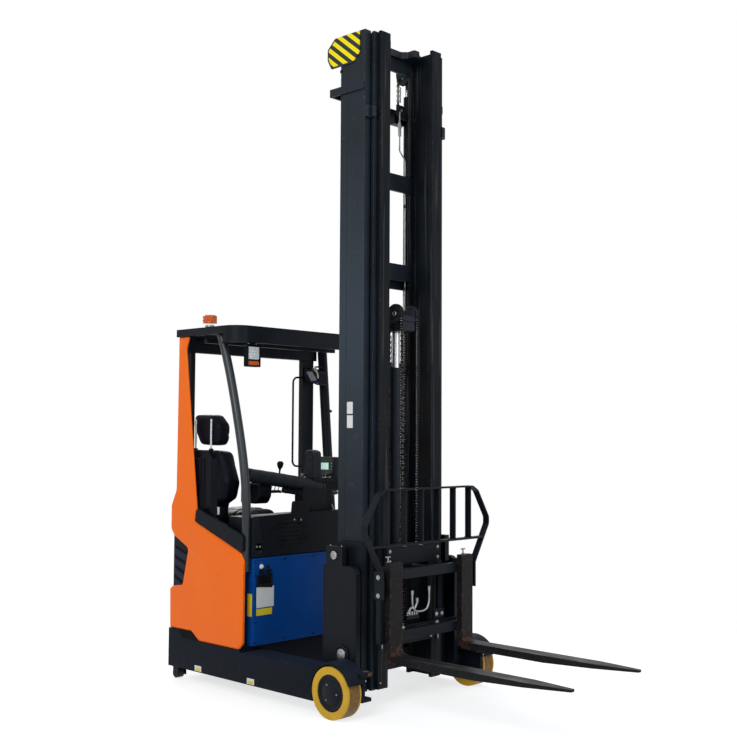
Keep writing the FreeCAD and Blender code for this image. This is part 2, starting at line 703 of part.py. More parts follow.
def roof_bars():
    """Fore-and-aft bars between the rear beam and the fascia."""
    bars = []
    for index in range(-5, 6):
        bars.append(block(f"roof_bar_{index + 5}", ("-1400", "-859"), (f"{index * 96} - 6", f"{index * 96} + 6"),
                          ("guard_height - 62", "guard_height - 22")))
    cross = block("roof_cross", ("-1240", "-1210"), ("-568", "568"), ("guard_height - 92", "guard_height - 62"))
    return fuse("roof_bars", cross, *bars)


def rear_posts():
    """Two rear posts of the guard, and the slanted post on the entry side."""
    top = f"guard_height - {REAR_BEAM_DROP}"
    right = block("rear_post_right", ("-1442", "-1402"), ("-545", "-512"), (SEAT_BASE_TOP, top))
    left = block("rear_post_left", ("-1442", "-1402"), ("436", "540"), (f"deck_top + {FLOOR_THICKNESS}", top))
    post = tube("slanted_tube", [("-1378", "598", "beam_bottom + 20"), ("-1270", "598", "960")], "34", "0")
    ends = [block("slanted_above", ("-1500", "-1300"), ("540", "660"), ("beam_bottom", "guard_height + 60")),
            block("slanted_below", ("-1400", "-1200"), ("540", "660"), ("900", POST_FOOT))]
    return fuse("rear_posts", right, left, cut("slanted_post", post, *ends), grab_handle())


def grab_handle():
    """Thin loop to hold on to when stepping in."""
    points = [("-1421", "438", "1950"), ("-1421", "362", "1950"), ("-1421", "362", "1322"),
              ("-1421", "438", "1322")]
    return tube("grab_handle", points, "7", "40")


def beacon():
    """Round lamp over the roof bars."""
    place = ("-1298", "-480")
    base = rod("beacon_base", "Z", ("guard_height - 22", "guard_height + 38"), place, "48")
    dome = rod("beacon_dome", "Z", ("guard_height + 38", "guard_height + 98"), place, "46")
    return fuse("beacon", base, dome)


def work_light():
    """Square lamp hung under the fascia."""
    housing = block("light_housing", ("-905", "-862"), ("-523", "-417"), ("1963", "2095"))
    stem = block("light_stem", ("-885", "-870"), ("-470", "-450"), ("2095", "guard_height - 8"))
    return fuse("work_light", housing, stem)


def camera_monitor():
    """Screen unit on the rear post, facing the driver."""
    return block("monitor", ("-1402", "-1250"), ("440", "540"), ("1890", "2030"))


node(guard_roof(), "guard_roof")
node(roof_bars(), "roof_bars")
both_sides(front_pillar, "front_pillars")
node(rear_posts(), "rear_posts")
node(beacon(), "beacon")
node(work_light(), "work_light")
node(camera_monitor(), "monitor")


# --------------------------------------------------------------------------------------
# Reach carriage and the three mast stages
# --------------------------------------------------------------------------------------
RAIL_MIDDLE = f"({RAIL_BOTTOM} + leg_top_front) / 2"
PLATE_OUTSIDE = "(leg_inner - rail_width - 5)"
BEAM_TOP = "240"


def sided(side, near, far):
    """A span across the truck from near to far of the middle, on its right (-1) or left (1)."""
    return (near, far) if side > 0 else (f"-({far})", f"-({near})")


def reach_carriage():
    """Two side plates on rollers in the legs' rails, joined by a beam behind the mast."""
    thick = 36
    rear = "-254"
    low = "130"
    top = "806"
    outline = [(rear, low), ("12", low, 40), ("12", top, 55), (rear, top, 15)]
    plates = []
    for index, side in enumerate((-1, 1)):
        plate_y = sided(side, f"{PLATE_OUTSIDE} - {thick}", PLATE_OUTSIDE)
        arm_y = sided(side, "outer_half_width", f"{PLATE_OUTSIDE} - {thick}")
        tab_y = sided(side, "outer_half_width", f"outer_half_width + {thick}")
        plates += [plate(f"carriage_plate_{index}", "XZ", outline, plate_y),
                   block(f"carriage_arm_{index}", ("-215", "-70"), arm_y, ("150", "790")),
                   block(f"carriage_lug_{index}", ("-229", "-100"), plate_y, (top, "911")),
                   block(f"carriage_tab_{index}", ("-205", "-10"), tab_y, ("780", "936"))]
    beam = block("carriage_beam", ("-310", rear), (f"-{PLATE_OUTSIDE}", PLATE_OUTSIDE), (low, BEAM_TOP))
    return fuse("carriage_frame", *plates, beam)


def reach_rollers():
    """Four rollers that run in the rails."""
    radius = f"(leg_top_front - ({RAIL_BOTTOM}) - 2 * rail_flange) / 2 - 5"
    rollers = []
    for side, span in enumerate((("-leg_inner + 6", f"-{PLATE_OUTSIDE}"), (PLATE_OUTSIDE, "leg_inner - 6"))):
        for index, x in enumerate(("-205", "-45")):
            rollers.append(rod(f"roller_{side}_{index}", "Y", span, (x, RAIL_MIDDLE), radius))
    return rollers


OUTER_TIP = "outer_half_width - 50"
MIDDLE_REAR = "outer_rear + flange + gap"
MIDDLE_WEB = "outer_half_width - 50 - 12"
MIDDLE_FRONT = "outer_front + gap + flange"
INNER_REAR = f"{MIDDLE_REAR} + 18 + gap"
INNER_WEB = f"{MIDDLE_WEB} - 14 - gap - 14"
INNER_FRONT = f"{MIDDLE_FRONT} + gap + flange"


def outer_upright(name):
    """C section, open towards the middle stage."""
    outside = "-outer_half_width"
    tip = f"-({OUTER_TIP})"
    rear = "outer_rear"
    front = "outer_front"
    outline = [(rear, outside), (front, outside), (front, tip), (f"{front} - flange", tip),
               (f"{front} - flange", f"{outside} + web"), (f"{rear} + flange", f"{outside} + web"),
               (f"{rear} + flange", tip), (rear, tip)]
    return plate(name, "XY", outline, ("mast_bottom", "mast_top"))


def middle_upright(name):
    """I section, its rear flange inside the outer stage and its front flange ahead of it."""
    web = f"-({MIDDLE_WEB})"
    rear = MIDDLE_REAR
    front = MIDDLE_FRONT
    outline = [(rear, "-outer_half_width + web + gap"), (f"{rear} + 18", "-outer_half_width + web + gap"),
               (f"{rear} + 18", web), (f"{front} - flange", web), (f"{front} - flange", f"{web} - 12"),
               (front, f"{web} - 12"), (front, f"{web} + 28"), (f"{front} - flange", f"{web} + 28"),
               (f"{front} - flange", f"{web} + 14"), (f"{rear} + 18", f"{web} + 14"),
               (f"{rear} + 18", f"{web} + 48"), (rear, f"{web} + 48")]
    return plate(name, "XY", outline, ("mast_bottom + 6", "mast_top - 6"))


def inner_upright(name):
    """I section that the fork carriage's rollers run in."""
    web = f"-({INNER_WEB})"
    rear = INNER_REAR
    front = INNER_FRONT
    outline = [(rear, f"{web} - 14"), (f"{rear} + 18", f"{web} - 14"), (f"{rear} + 18", web),
               (f"{front} - flange", web), (f"{front} - flange", f"{web} - 20"), (front, f"{web} - 20"),
               (front, f"{web} + 62"), (f"{front} - flange", f"{web} + 62"), (f"{front} - flange", f"{web} + 16"),
               (f"{rear} + 18", f"{web} + 16"), (f"{rear} + 18", f"{web} + 62"), (rear, f"{web} + 62")]
    return plate(name, "XY", outline, ("mast_bottom + 12", "mast_top - 2"))


# The main lift cylinders' axes, and the top of the blocks that the middle stage's chains are anchored to.
LIFT_X = "outer_rear - 14 - barrel_radius"
LIFT_Y = "278"
CHAIN_ANCHOR_TOP = "mast_top - 345"


def outer_ties():
    """Two flat cross members behind the outer stage, and a strap round its top."""
    ties = [block(f"outer_tie_{index}", ("outer_rear - 12", "outer_rear"), ("-outer_half_width + 15",
                  "outer_half_width - 15"), (low, low + 110)) for index, low in enumerate((1450, 2450))]
    strap_z = ("mast_top - 355", "mast_top - 308")
    outside = "outer_half_width + 10"
    rear = block("strap_rear", ("outer_rear - 84", "outer_rear - 71"), (f"-({outside})", outside), strap_z)
    straps = [block(f"strap_side_{index}", ("outer_rear - 71", "outer_front - 4"), span, strap_z)
              for index, span in enumerate(((f"-({outside})", "-outer_half_width"), ("outer_half_width", outside)))]
    anchors = [block(f"chain_anchor_{index}", ("outer_rear - 71", "outer_rear - 24"), sided(side, "150", "248"),
                     (f"{CHAIN_ANCHOR_TOP} - 70", CHAIN_ANCHOR_TOP))
               for index, side in enumerate((-1, 1))]
    return fuse("outer_ties", rear, *straps, *ties, *anchors)


def stage_ties(name, x, half_width, heights):
    """Cross members of a moving stage, at one plane behind its uprights."""
    return [block(f"{name}_{index}", x, (f"-({half_width})", half_width), (low, top))
            for index, (low, top) in enumerate(heights)]


def middle_ties():
    """Cross members of the middle stage, and the arms on the lift cylinders' rods."""
    plane = (f"{MIDDLE_REAR} - 22", MIDDLE_REAR)
    heights = ((200, 320), (1900, 1990), (3070, 3155), ("mast_top - 48", "mast_top - 8"))
    ties = stage_ties("middle_tie", plane, f"{MIDDLE_WEB} + 4", heights)
    arm_z = ("mast_top - 60", "mast_top - 15")
    arms = [block(f"middle_arm_{index}", ("outer_rear - 12", f"{MIDDLE_REAR} - 22"), sided(side, "240", "292"), arm_z)
            for index, side in enumerate((-1, 1))]
    heads = [block(f"middle_head_{index}", ("outer_rear - 70", "outer_rear - 12"),
                   sided(side, "240", f"{LIFT_Y} + 20"), arm_z) for index, side in enumerate((-1, 1))]
    return fuse("middle_ties", *ties, *arms, *heads)


def inner_ties():
    """Cross members of the inner stage, and the free-lift cylinder's foot."""
    plane = (INNER_REAR, f"{INNER_REAR} + 18")
    half_width = f"{INNER_WEB} - 62"
    ties = stage_ties("inner_tie", plane, half_width, ((150, 260), (2495, 2595), (3045, 3150)))
    ties.append(block("inner_top_tie", plane, (f"-({half_width})", half_width), ("mast_top - 130", "mast_top - 48")))
    web = f"({INNER_WEB} - 16)"
    back = f"{INNER_REAR} + 18"
    half = [("-140", "75", 10), ("-110", "104", 10), ("-56", "104", 10), ("-56", "150", 10), ("-72", "167", 10),
            ("-105", "211", 10), ("-110", web), (back, web)]
    bow = [(x, f"-{y}", *radius) for x, y, *radius in reversed(half)] + half
    ties.append(plate("inner_bow", "XY", bow, ("mast_top - 48", "mast_top - 6")))
    foot = block("free_lift_foot", (f"{INNER_REAR} + 18", "-62"), ("-46", "46"), ("210", "250"))
    return fuse("inner_ties", *ties, foot)


def lift_barrel(name):
    """Barrel of a main lift cylinder, standing on the reach carriage's beam."""
    place = (LIFT_X, f"-{LIFT_Y}")
    top = "mast_top - 220"
    barrel = rod(name + "_tube", "Z", (BEAM_TOP, top), place, "barrel_radius")
    bore = rod(name + "_bore", "Z", (f"{BEAM_TOP} + 22", f"{top} + 1"), place, "rod_radius + 0.5")
    return cut(name, barrel, bore)


def lift_rods():
    """Chromed rods under the middle stage's arms."""
    span = (f"{BEAM_TOP} + 30", "mast_top - 60")
    return fuse("lift_rods", *[rod(f"lift_rod_{index}", "Z", span, (LIFT_X, y), "rod_radius")
                               for index, y in enumerate((f"-{LIFT_Y}", LIFT_Y))])


def chain_strand(name, x, y, low, top):
    """A flat run of leaf chain."""
    return block(name, (f"{x} - 5", f"{x} + 5"), (f"{y} - 8", f"{y} + 8"), (low, top))


def middle_chains():
    """Chain sheaves at the middle stage's top with their chains down both sides."""
    centre = f"{MIDDLE_REAR} - 35"
    height = "mast_top - 110"
    pieces = []
    for index, y in enumerate(("-215", "215")):
        pieces.append(rod(f"middle_sheave_{index}", "Y", (f"{y} - 11", f"{y} + 11"), (centre, height), "54"))
        short = (f"{CHAIN_ANCHOR_TOP} + 6", height)
        pieces.append(chain_strand(f"middle_chain_short_{index}", f"{centre} - 48", y, *short))
        pieces.append(chain_strand(f"middle_chain_long_{index}", f"{centre} + 48", y, "360", height))
    return fuse("middle_chains", *pieces)


# The free-lift cylinder's axis and rod, and the axis height of the crosshead's sheaves.
FREE_LIFT = ("-110", "0")
FREE_ROD_RADIUS = 26
CROSSHEAD_SHEAVE = "2267"


def free_lift_barrel():
    """Central cylinder on the inner stage that raises the fork carriage first."""
    return cut("free_lift_barrel", rod("free_tube", "Z", ("250", "1950"), FREE_LIFT, "42"),
               rod("free_bore", "Z", ("272", "1951"), FREE_LIFT, FREE_ROD_RADIUS + 0.5))


def crosshead():
    """Free-lift rod with the crosshead, its two sheaves and their chains."""
    shaft = rod("free_rod", "Z", ("425", "2165"), FREE_LIFT, FREE_ROD_RADIUS)
    head = block("crosshead_block", ("-140", "0"), ("-58", "58"), ("2165", "2225"))
    lugs = block("crosshead_lug", ("-75", "-15"), ("-58", "58"), ("2225", "2290"))
    pieces = [shaft, head, lugs]
    for index, y in enumerate(("-70", "70")):
        pieces.append(rod(f"free_sheave_{index}", "Y", (f"{y} - 12", f"{y} + 12"), ("-45", CROSSHEAD_SHEAVE), "58"))
        pieces.append(chain_strand(f"free_chain_front_{index}", "5", y, "900", CROSSHEAD_SHEAVE))
        pieces.append(chain_strand(f"free_chain_rear_{index}", "-95", y, "420", CROSSHEAD_SHEAVE))
    return fuse("crosshead", *pieces)


def hazard_plate(name):
    """Striped plate at the top rear of the outer stage."""
    low = "mast_top - 182"
    top = "mast_top - 2"
    outline = [("outer_rear - 110", f"{low} + 60", 10), ("outer_rear - 78", low, 10), ("outer_front - 98", low, 20),
               ("outer_front - 40", f"{low} + 52", 10), ("outer_front - 40", top), ("outer_rear - 48", top, 20),
               ("outer_rear - 110", f"{top} - 56", 10)]
    return plate(name, "XZ", outline, ("-outer_half_width - 6", "-outer_half_width"))


def reach_cylinder():
    """Barrel of the reach cylinder, fixed in the chassis beside the drive wheel."""
    return cut("reach_barrel", rod("reach_tube", "X", ("-1230", "-748"), REACH_CYLINDER, "32"),
               rod("reach_bore", "X", ("-1215", "-747"), REACH_CYLINDER, "18.5"))


def reach_rod():
    """Chromed rod from the reach cylinder to the carriage's beam."""
    return rod("reach_rod", "X", ("-780", "-310"), REACH_CYLINDER, "18")


node(fuse("reach_carriage", reach_carriage(), *reach_rollers()), "reach_carriage")
both_sides(outer_upright, "mast_outer")
node(outer_ties(), "outer_ties")
both_sides(hazard_plate, "hazard_plates")
both_sides(lift_barrel, "lift_barrels")
both_sides(middle_upright, "mast_middle")
node(middle_ties(), "middle_ties")
node(lift_rods(), "lift_rods")
node(middle_chains(), "middle_chains")
both_sides(inner_upright, "mast_inner")
node(inner_ties(), "inner_ties")
node(free_lift_barrel(), "free_lift_barrel")
node(crosshead(), "crosshead")
node(reach_cylinder(), "reach_barrel")
node(reach_rod(), "reach_rod")


# --------------------------------------------------------------------------------------
# Fork carriage, and the group that tilts and shifts sideways
# --------------------------------------------------------------------------------------
def fork_carriage():
    """Plates and rollers in the inner stage, with cross plates ahead of the mast."""
    pieces = []
    middle_x = f"({INNER_REAR} + 18 + {INNER_FRONT} - flange) / 2"
    roller = f"({INNER_FRONT} - flange - ({INNER_REAR}) - 18) / 2 - 5"
    for side in (-1, 1):
        pieces.append(block(f"carriage_side_{side + 1}", (f"{middle_x} - 60", "plate_x"), sided(side, "150", "184"),
                            ("345", "870")))
        for index, z in enumerate(("430", "780")):
            pieces.append(rod(f"carriage_roller_{side + 1}_{index}", "Y", sided(side, "184", "230"), (middle_x, z),
                              roller))
        pieces.append(block(f"pivot_lug_{side + 1}", ("plate_x + plate_thickness", "pivot_x + 22"),
                            sided(side, "148", "172"), ("pivot_z - 24", "pivot_z + 24")))
        pieces.append(rod(f"pivot_pin_{side + 1}", "Y", sided(side, "172", "232"), ("pivot_x", "pivot_z"), "14"))
    span_x = ("plate_x", "plate_x + plate_thickness")
    top = block("carriage_top", span_x, ("-235", "235"), ("800", "900"))
    low = block("carriage_low", span_x, ("-172", "172"), ("345", "425"))
    return fuse("fork_carriage", *pieces, top, low)


# The two tilt cylinders' axes.
TILT_AXES = (("-115", "760"), ("115", "760"))


def tilt_cylinders():
    """Short barrels through the carriage's upper part."""
    barrels = []
    for index, axis in enumerate(TILT_AXES):
        tube_item = rod(f"tilt_tube_{index}", "X", ("-60", "plate_x + plate_thickness"), axis, "20")
        bore = rod(f"tilt_bore_{index}", "X", ("-50", "plate_x + plate_thickness + 1"), axis, "10.5")
        barrels.append(cut(f"tilt_barrel_{index}", tube_item, bore))
    return fuse("tilt_cylinders", *barrels)


def tilt_rods():
    """Rods of the tilt cylinders, up to the tilting bars."""
    return fuse("tilt_rods", *[rod(f"tilt_rod_{index}", "X", ("-10", "70"), axis, "10")
                               for index, axis in enumerate(TILT_AXES)])


def tilt_frame():
    """Upright bars on the pivot pins, with the two rails that the sideshift slides on."""
    bars = []
    for side in (-1, 1):
        span = sided(side, "180", "214")
        bar = block(f"tilt_bar_{side + 1}", ("pivot_x - 10", "pivot_x + 14"), span, ("pivot_z", "790"))
        eye = rod(f"tilt_eye_{side + 1}", "Y", span, ("pivot_x", "pivot_z"), "26")
        bore = rod(f"tilt_eye_bore_{side + 1}", "Y", ("-233", "233"), ("pivot_x", "pivot_z"), "14.3")
        bars.append(cut(f"tilt_link_{side + 1}", fuse(f"tilt_arm_{side + 1}", bar, eye), bore))
    rails = [block(f"tilt_rail_{index}", ("pivot_x + 14", "pivot_x + 30"), ("-330", "330"), span)
             for index, span in enumerate((("750", "778"), ("430", "458")))]
    return fuse("tilt_frame", *bars, *rails)


# The fork bars: their depth, half length and top.
BAR_X = ("fork_front - fork_thickness - 35", "fork_front - fork_thickness")
BAR_HALF_LENGTH = 400
BAR_TOP = "790"


def sideshift_frame():
    """Fork bars and end plates, sliding sideways on the tilt frame."""
    span_y = (f"-{BAR_HALF_LENGTH}", BAR_HALF_LENGTH)
    upper = block("fork_bar_upper", BAR_X, span_y, ("735", BAR_TOP))
    lower = block("fork_bar_lower", BAR_X, span_y, ("392", "447"))
    ends = [block(f"fork_bar_end_{side + 1}", BAR_X, sided(side, "376", BAR_HALF_LENGTH), ("447", "735"))
            for side in (-1, 1)]
    return fuse("sideshift_frame", upper, lower, *ends)


def fork(name):
    """L-shaped fork: shank on the bars, tapered blade."""
    shank_rear = "fork_front - fork_thickness"
    blade_low = "fork_top - fork_thickness"
    tip = "fork_front + fork_length"
    outline = [(shank_rear, "838"), (shank_rear, blade_low, 60), ("fork_front + 570", blade_low),
               (tip, "fork_top - 12"), (tip, "fork_top"), ("fork_front", "fork_top", 42),
               ("fork_front", "838", 10)]
    low = "-fork_spread - fork_width / 2"
    high = "-fork_spread + fork_width / 2"
    side = plate(name + "_side", "XZ", outline, (low, high))
    plan = [(shank_rear, low), (f"{tip} - 260", low), (tip, f"{low} + 34", 10), (tip, f"{high} - 34", 10),
            (f"{tip} - 260", high), (shank_rear, high)]
    above = plate(name + "_plan", "XY", plan, (f"{blade_low} - 40", "900"))
    shaped = doc.addObject("Part::Common", name + "_blade")
    shaped.Base = side
    shaped.Tool = above
    hook = block(name + "_hook", (BAR_X[0], shank_rear), (low, high), (BAR_TOP, "815"))
    return fuse(name, shaped, hook)


def load_backrest():
    """Flat-bar guard above the fork bars, its sides bolted to the bars' ends."""
    bar = 10
    inner = BAR_HALF_LENGTH
    foot = inner + bar + 2
    low = 640
    outside = [(-foot, low), (foot, low), (foot, "785", 25), ("543", "1008", 35), ("543", "1052", 35),
               ("440", "1215", 30), ("388", "backrest_top", 45), ("-388", "backrest_top", 45), ("-440", "1215", 30),
               ("-543", "1052", 35), ("-543", "1008", 35), (-foot, "785", 25)]
    span = ("fork_front - 54", "fork_front - 14")
    hollow = inset(outside, bar)
    for index in (0, 1):
        hollow[index] = (hollow[index][0], low - 40)
    ring = cut("backrest_ring", plate("backrest_outside", "YZ", outside, span),
               plate("backrest_inside", "YZ", hollow, ("fork_front - 60", "fork_front")))
    lower_bar = block("backrest_lower", span, ("-488", "488"), ("924", "936"))
    bars = [block(f"backrest_bar_{index}", span, (f"{y} - 5", f"{y} + 5"), ("936", "backrest_top - 8"))
            for index, y in enumerate((-362, -217, -72, 72, 217, 362))]
    feet = [block(f"backrest_foot_{side + 1}", ("fork_front - 80", "fork_front - 14"), sided(side, inner, foot),
                  (low, BAR_TOP)) for side in (-1, 1)]
    return fuse("load_backrest", ring, lower_bar, *bars, *feet)


node(tilt_frame(), "tilt_frame")
node(sideshift_frame(), "sideshift_frame")
pair(fork, "fork")
node(load_backrest(), "load_backrest")
node(fork_carriage(), "fork_carriage")
node(tilt_cylinders(), "tilt_cylinders")
node(tilt_rods(), "tilt_rods")


# --------------------------------------------------------------------------------------
# Check and export
# --------------------------------------------------------------------------------------
doc.recompute()
failed = [item.Name for item in doc.Objects if "Invalid" in item.State or "Error" in item.State]
for item in NODES:
    if item.Shape.isNull() or not item.Shape.isValid():
        failed.append(item.Label)
if failed:
    raise SystemExit("These objects failed: " + ", ".join(failed))
os.makedirs("parts", exist_ok=True)
for item in NODES:
    item.Shape.exportStep(f"parts/{item.Label}.step")
    print(item.Label, len(item.Shape.Solids), round(item.Shape.Volume / 1e6, 2))
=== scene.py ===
"""The reach truck's looks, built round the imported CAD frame."""
import bmesh
import bpy
import math
from functools import cached_property
from mathutils import Matrix, Vector


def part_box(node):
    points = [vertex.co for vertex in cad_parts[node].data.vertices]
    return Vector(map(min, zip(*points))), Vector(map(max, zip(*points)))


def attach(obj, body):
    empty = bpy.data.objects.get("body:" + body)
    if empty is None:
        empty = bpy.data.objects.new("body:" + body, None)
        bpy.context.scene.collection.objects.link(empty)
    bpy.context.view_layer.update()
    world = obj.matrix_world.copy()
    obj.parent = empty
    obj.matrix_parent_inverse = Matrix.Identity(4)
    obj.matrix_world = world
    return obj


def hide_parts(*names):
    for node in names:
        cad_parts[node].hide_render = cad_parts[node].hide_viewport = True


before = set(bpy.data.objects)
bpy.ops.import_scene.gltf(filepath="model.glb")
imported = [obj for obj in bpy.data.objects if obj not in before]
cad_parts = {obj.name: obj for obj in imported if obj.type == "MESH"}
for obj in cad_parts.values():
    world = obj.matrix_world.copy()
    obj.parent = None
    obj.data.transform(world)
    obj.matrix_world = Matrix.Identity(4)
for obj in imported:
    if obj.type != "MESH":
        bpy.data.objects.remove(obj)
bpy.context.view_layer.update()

# Places. Lengths in the calls below are millimetres counted from the load
# wheels' axle, along the truck, across it and up; at() turns them to metres.
HALF_WIDTH = 635
AXLE = sum(corner[0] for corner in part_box("load_wheel_right")) / 2
MM = 0.001


def at(x, y, z):
    """A place in millimetres from the axle, as a point of the frame."""
    return Vector((x * MM + AXLE, y * MM, z * MM))


def box_mm(node):
    """A CAD node's lowest and highest corner in millimetres from the axle."""
    low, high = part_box(node)
    return [[(corner[0] - AXLE) / MM, corner[1] / MM, corner[2] / MM] for corner in (low, high)]


# --- Materials ---
class Nodes:
    """A short way to write the node tree of a material or a world."""

    def __init__(self, owner):
        owner.use_nodes = True
        self.owner, self.tree = owner, owner.node_tree
        self.tree.nodes.clear()

    def put(self, socket, value):
        """Links a socket to another one, or sets its value."""
        if isinstance(value, bpy.types.NodeSocket):
            self.tree.links.new(value, socket)
        elif hasattr(socket.default_value, "__len__") and not hasattr(value, "__len__"):
            socket.default_value = [value] * len(socket.default_value)
        elif hasattr(value, "__len__") and len(value) == 3 and len(socket.default_value) == 4:
            socket.default_value = (*value, 1)
        else:
            socket.default_value = value

    def add(self, kind, *values, out=0, **named):
        """A node's output. Inputs go in order or by their capital name, settings by their small name."""
        node = self.tree.nodes.new("ShaderNode" + kind)
        for name, value in named.items():
            if name[0].islower():
                setattr(node, name, value)
            elif value is not None:
                self.put(node.inputs[name.replace("_", " ")], value)
        for socket, value in zip(node.inputs, values):
            if value is not None:
                self.put(socket, value)
        return node.outputs[out] if node.outputs else None

    @cached_property
    def coord(self):
        """The place being coloured, in the object's own frame."""
        return self.add("TexCoord", out="Object")

    def axes(self):
        """The x, y and z of the place being coloured, in metres."""
        return self.add("SeparateXYZ", self.coord).node.outputs

    def math(self, how, a, b=0.0, c=0.0, clamp=False):
        return self.add("Math", a, b, c, operation=how, use_clamp=clamp)

    def both(self, a, b):
        return self.math("MULTIPLY", a, b)

    def span(self, value, low, high, to_low=0.0, to_high=1.0):
        """A value mapped from low-high to to_low-to_high and held there."""
        return self.add("MapRange", value, low, high, to_low, to_high)

    def between(self, value, low, high, soft=0.0005):
        """1 where a value lies between two bounds, else 0."""
        above = self.span(value, low - soft, low + soft)
        below = self.span(value, high - soft, high + soft, 1.0, 0.0)
        return self.both(above, below)

    def noise(self, scale, detail=4.0, rough=0.6, stretch=None):
        """Noise from 0 to 1, spread over the whole range; stretch squeezes the pattern along an axis."""
        place = self.add("Mapping", self.coord, Scale=stretch) if stretch else self.coord
        return self.span(self.add("TexNoise", Vector=place, Scale=scale, Detail=detail, Roughness=rough),
                         0.3, 0.7)

    def mix(self, factor, a, b):
        """Colour a where the factor is 0, colour b where it is 1."""
        return self.add("Mix", factor, None, None, None, None, None, a, b, data_type="RGBA", out=2)

    def rounded(self, radius):
        """The normal as if every edge had this radius."""
        return self.add("Bevel", radius, samples=4)

    def edges(self, soft_normal, low=0.02, high=0.3):
        """1 along sharp edges, 0 on flats."""
        flat = self.add("NewGeometry", out="True Normal")
        same = self.add("VectorMath", soft_normal, flat, operation="DOT_PRODUCT", out="Value")
        return self.span(self.math("SUBTRACT", 1.0, same), low, high)

    def up(self):
        """1 on faces that look up, 0 on walls and undersides."""
        return self.span(self.add("SeparateXYZ", self.add("NewGeometry", out="Normal"), out=2), 0.3, 0.95)

    def bump(self, height, strength, distance, normal=None):
        return self.add("Bump", Strength=strength, Distance=distance, Height=height, Normal=normal)

    def view_only(self, seen, lit):
        """One shader for what the camera, metal and glass see, and another that lights the object."""
        rays = self.add("LightPath").node.outputs
        any_view = rays["Is Camera Ray"]
        for name in ("Is Glossy Ray", "Is Transmission Ray"):
            any_view = self.add("Math", any_view, rays[name], operation="MAXIMUM")
        return self.add("MixShader", any_view, lit, seen)

    def paint(self, **sockets):
        """The finished material, from the inputs of its one shader."""
        self.add("OutputMaterial", self.add("BsdfPrincipled", **sockets))
        return self.owner


def new_material(name):
    return Nodes(bpy.data.materials.new(name))


def coated(name, colour, rough=0.4, mottle=0.15, scale=5.0, edge=0.004, chip_and_glint_amount=0.0, chip_and_glint_colour=(0.5, 0.5, 0.5),
           dust_and_lit_top=0.0, dust_and_lit_top_colour=(0.35, 0.33, 0.3), grain=0.0, grain_scale=900.0, coat=0.0, streaks=0.0,
           gloss=0.2, detail=None):
    """Paint or plastic with cloudy tone, softened and chipped edges, dust on top and dirt low down. The tone
    on upward faces is partly dust and partly painted light from above; on the orange paint the pale chips are
    partly a painted edge highlight.
    """
    n = new_material(name)
    cloud = n.noise(scale)
    fine = n.noise(scale * 22, 3)
    dark = tuple(c * (1 - mottle) for c in colour)
    light = tuple(min(c * (1 + mottle), 1) for c in colour)
    tone = n.mix(n.both(cloud, n.span(fine, 0, 1, 0.6, 1.0)), dark, light)
    shine = n.span(cloud, 0, 1, rough - 0.06, rough + 0.07)
    normal = n.rounded(edge)
    if detail:
        tone = detail(n, tone)
    if streaks:
        runs = n.noise(14, 5, 0.7, stretch=(1, 1, 0.06))
        tone = n.mix(n.both(n.span(runs, 0.55, 1), streaks), tone, tuple(c * 2.2 + 0.02 for c in colour))
    # Upward faces take a lighter tone: partly dust, partly painted light from above.
    if dust_and_lit_top:
        dust_and_lit_top_mask = n.both(n.up(), n.span(n.noise(11, 6, 0.7), 0.1, 1.0, 0.2, 1.0))
        tone = n.mix(n.both(dust_and_lit_top_mask, dust_and_lit_top), tone, dust_and_lit_top_colour)
        shine = n.math("ADD", shine, n.both(dust_and_lit_top_mask, dust_and_lit_top * 0.5))
    # Edge chips and scratches; on the orange paint the pale chip colour also stands in for a painted edge
    # highlight.
    if chip_and_glint_amount:
        spots = n.span(n.noise(70, 5, 0.7), 0.62, 0.72)
        mask = n.both(n.both(n.edges(normal), spots), chip_and_glint_amount)
        scratches = n.span(n.noise(9, 8, 0.85, stretch=(1, 1, 3)), 0.93, 0.97)
        mask = n.math("ADD", mask, n.both(scratches, chip_and_glint_amount * 0.25), clamp=True)
        tone = n.mix(mask, tone, chip_and_glint_colour)
    if grain:
        normal = n.bump(n.add("TexVoronoi", Vector=n.coord, Scale=grain_scale), grain, 0.0004, normal)
    else:
        normal = n.bump(n.noise(160, 3), 0.08, 0.0006, normal)
    return n.paint(Base_Color=tone, Roughness=shine, Coat_Weight=coat, Specular_IOR_Level=gloss,
                   Normal=normal)


def polished(name, colour, rough=0.25, tarnish=0.3, tarnish_colour=(0.12, 0.1, 0.08)):
    """Bare metal with fine turning marks and some tarnish."""
    n = new_material(name)
    cloud = n.noise(30, 6, 0.7)
    tone = n.mix(n.both(n.span(cloud, 0.45, 1), tarnish), colour, tarnish_colour)
    normal = n.bump(n.noise(220, 2, stretch=(1, 1, 8)), 0.15, 0.0003, n.rounded(0.0015))
    return n.paint(Base_Color=tone, Roughness=n.span(cloud, 0, 1, rough, rough + 0.25), Metallic=0.92,
                   Normal=normal)


def mast_detail(n, tone):
    """A thin weld line up the web, pale scuffs, and a painted reflection: a lighter band at mid height on the
    outer web.
    """
    x, y, z = n.axes()
    outside = n.span(n.math("ABSOLUTE", y), 0.346, 0.349)
    # Painted reflection: the outer web is lightened between about 1.2 and 3.3 m up, standing in for a broad
    # glossy reflection.
    middle = n.both(n.span(z, 1.2, 2.0), n.span(z, 2.3, 3.3, 1.0, 0.0))
    tone = n.mix(n.both(n.both(middle, outside), 0.55), tone, (0.046, 0.066, 0.086))
    line = n.both(n.between(x, AXLE - 0.184, AXLE - 0.178, 0.0012), n.span(n.noise(5, 6, 0.8), 0.3, 0.7, 0.3,
                                                                           1.0))
    tone = n.mix(n.both(n.both(line, outside), 0.9), tone, (0.002, 0.003, 0.004))
    scuffs = n.span(n.noise(11, 9, 0.95, stretch=(1, 1, 2.6)), 0.8, 0.83)
    return n.mix(n.both(n.both(scuffs, outside), 0.5), tone, (0.25, 0.25, 0.24))


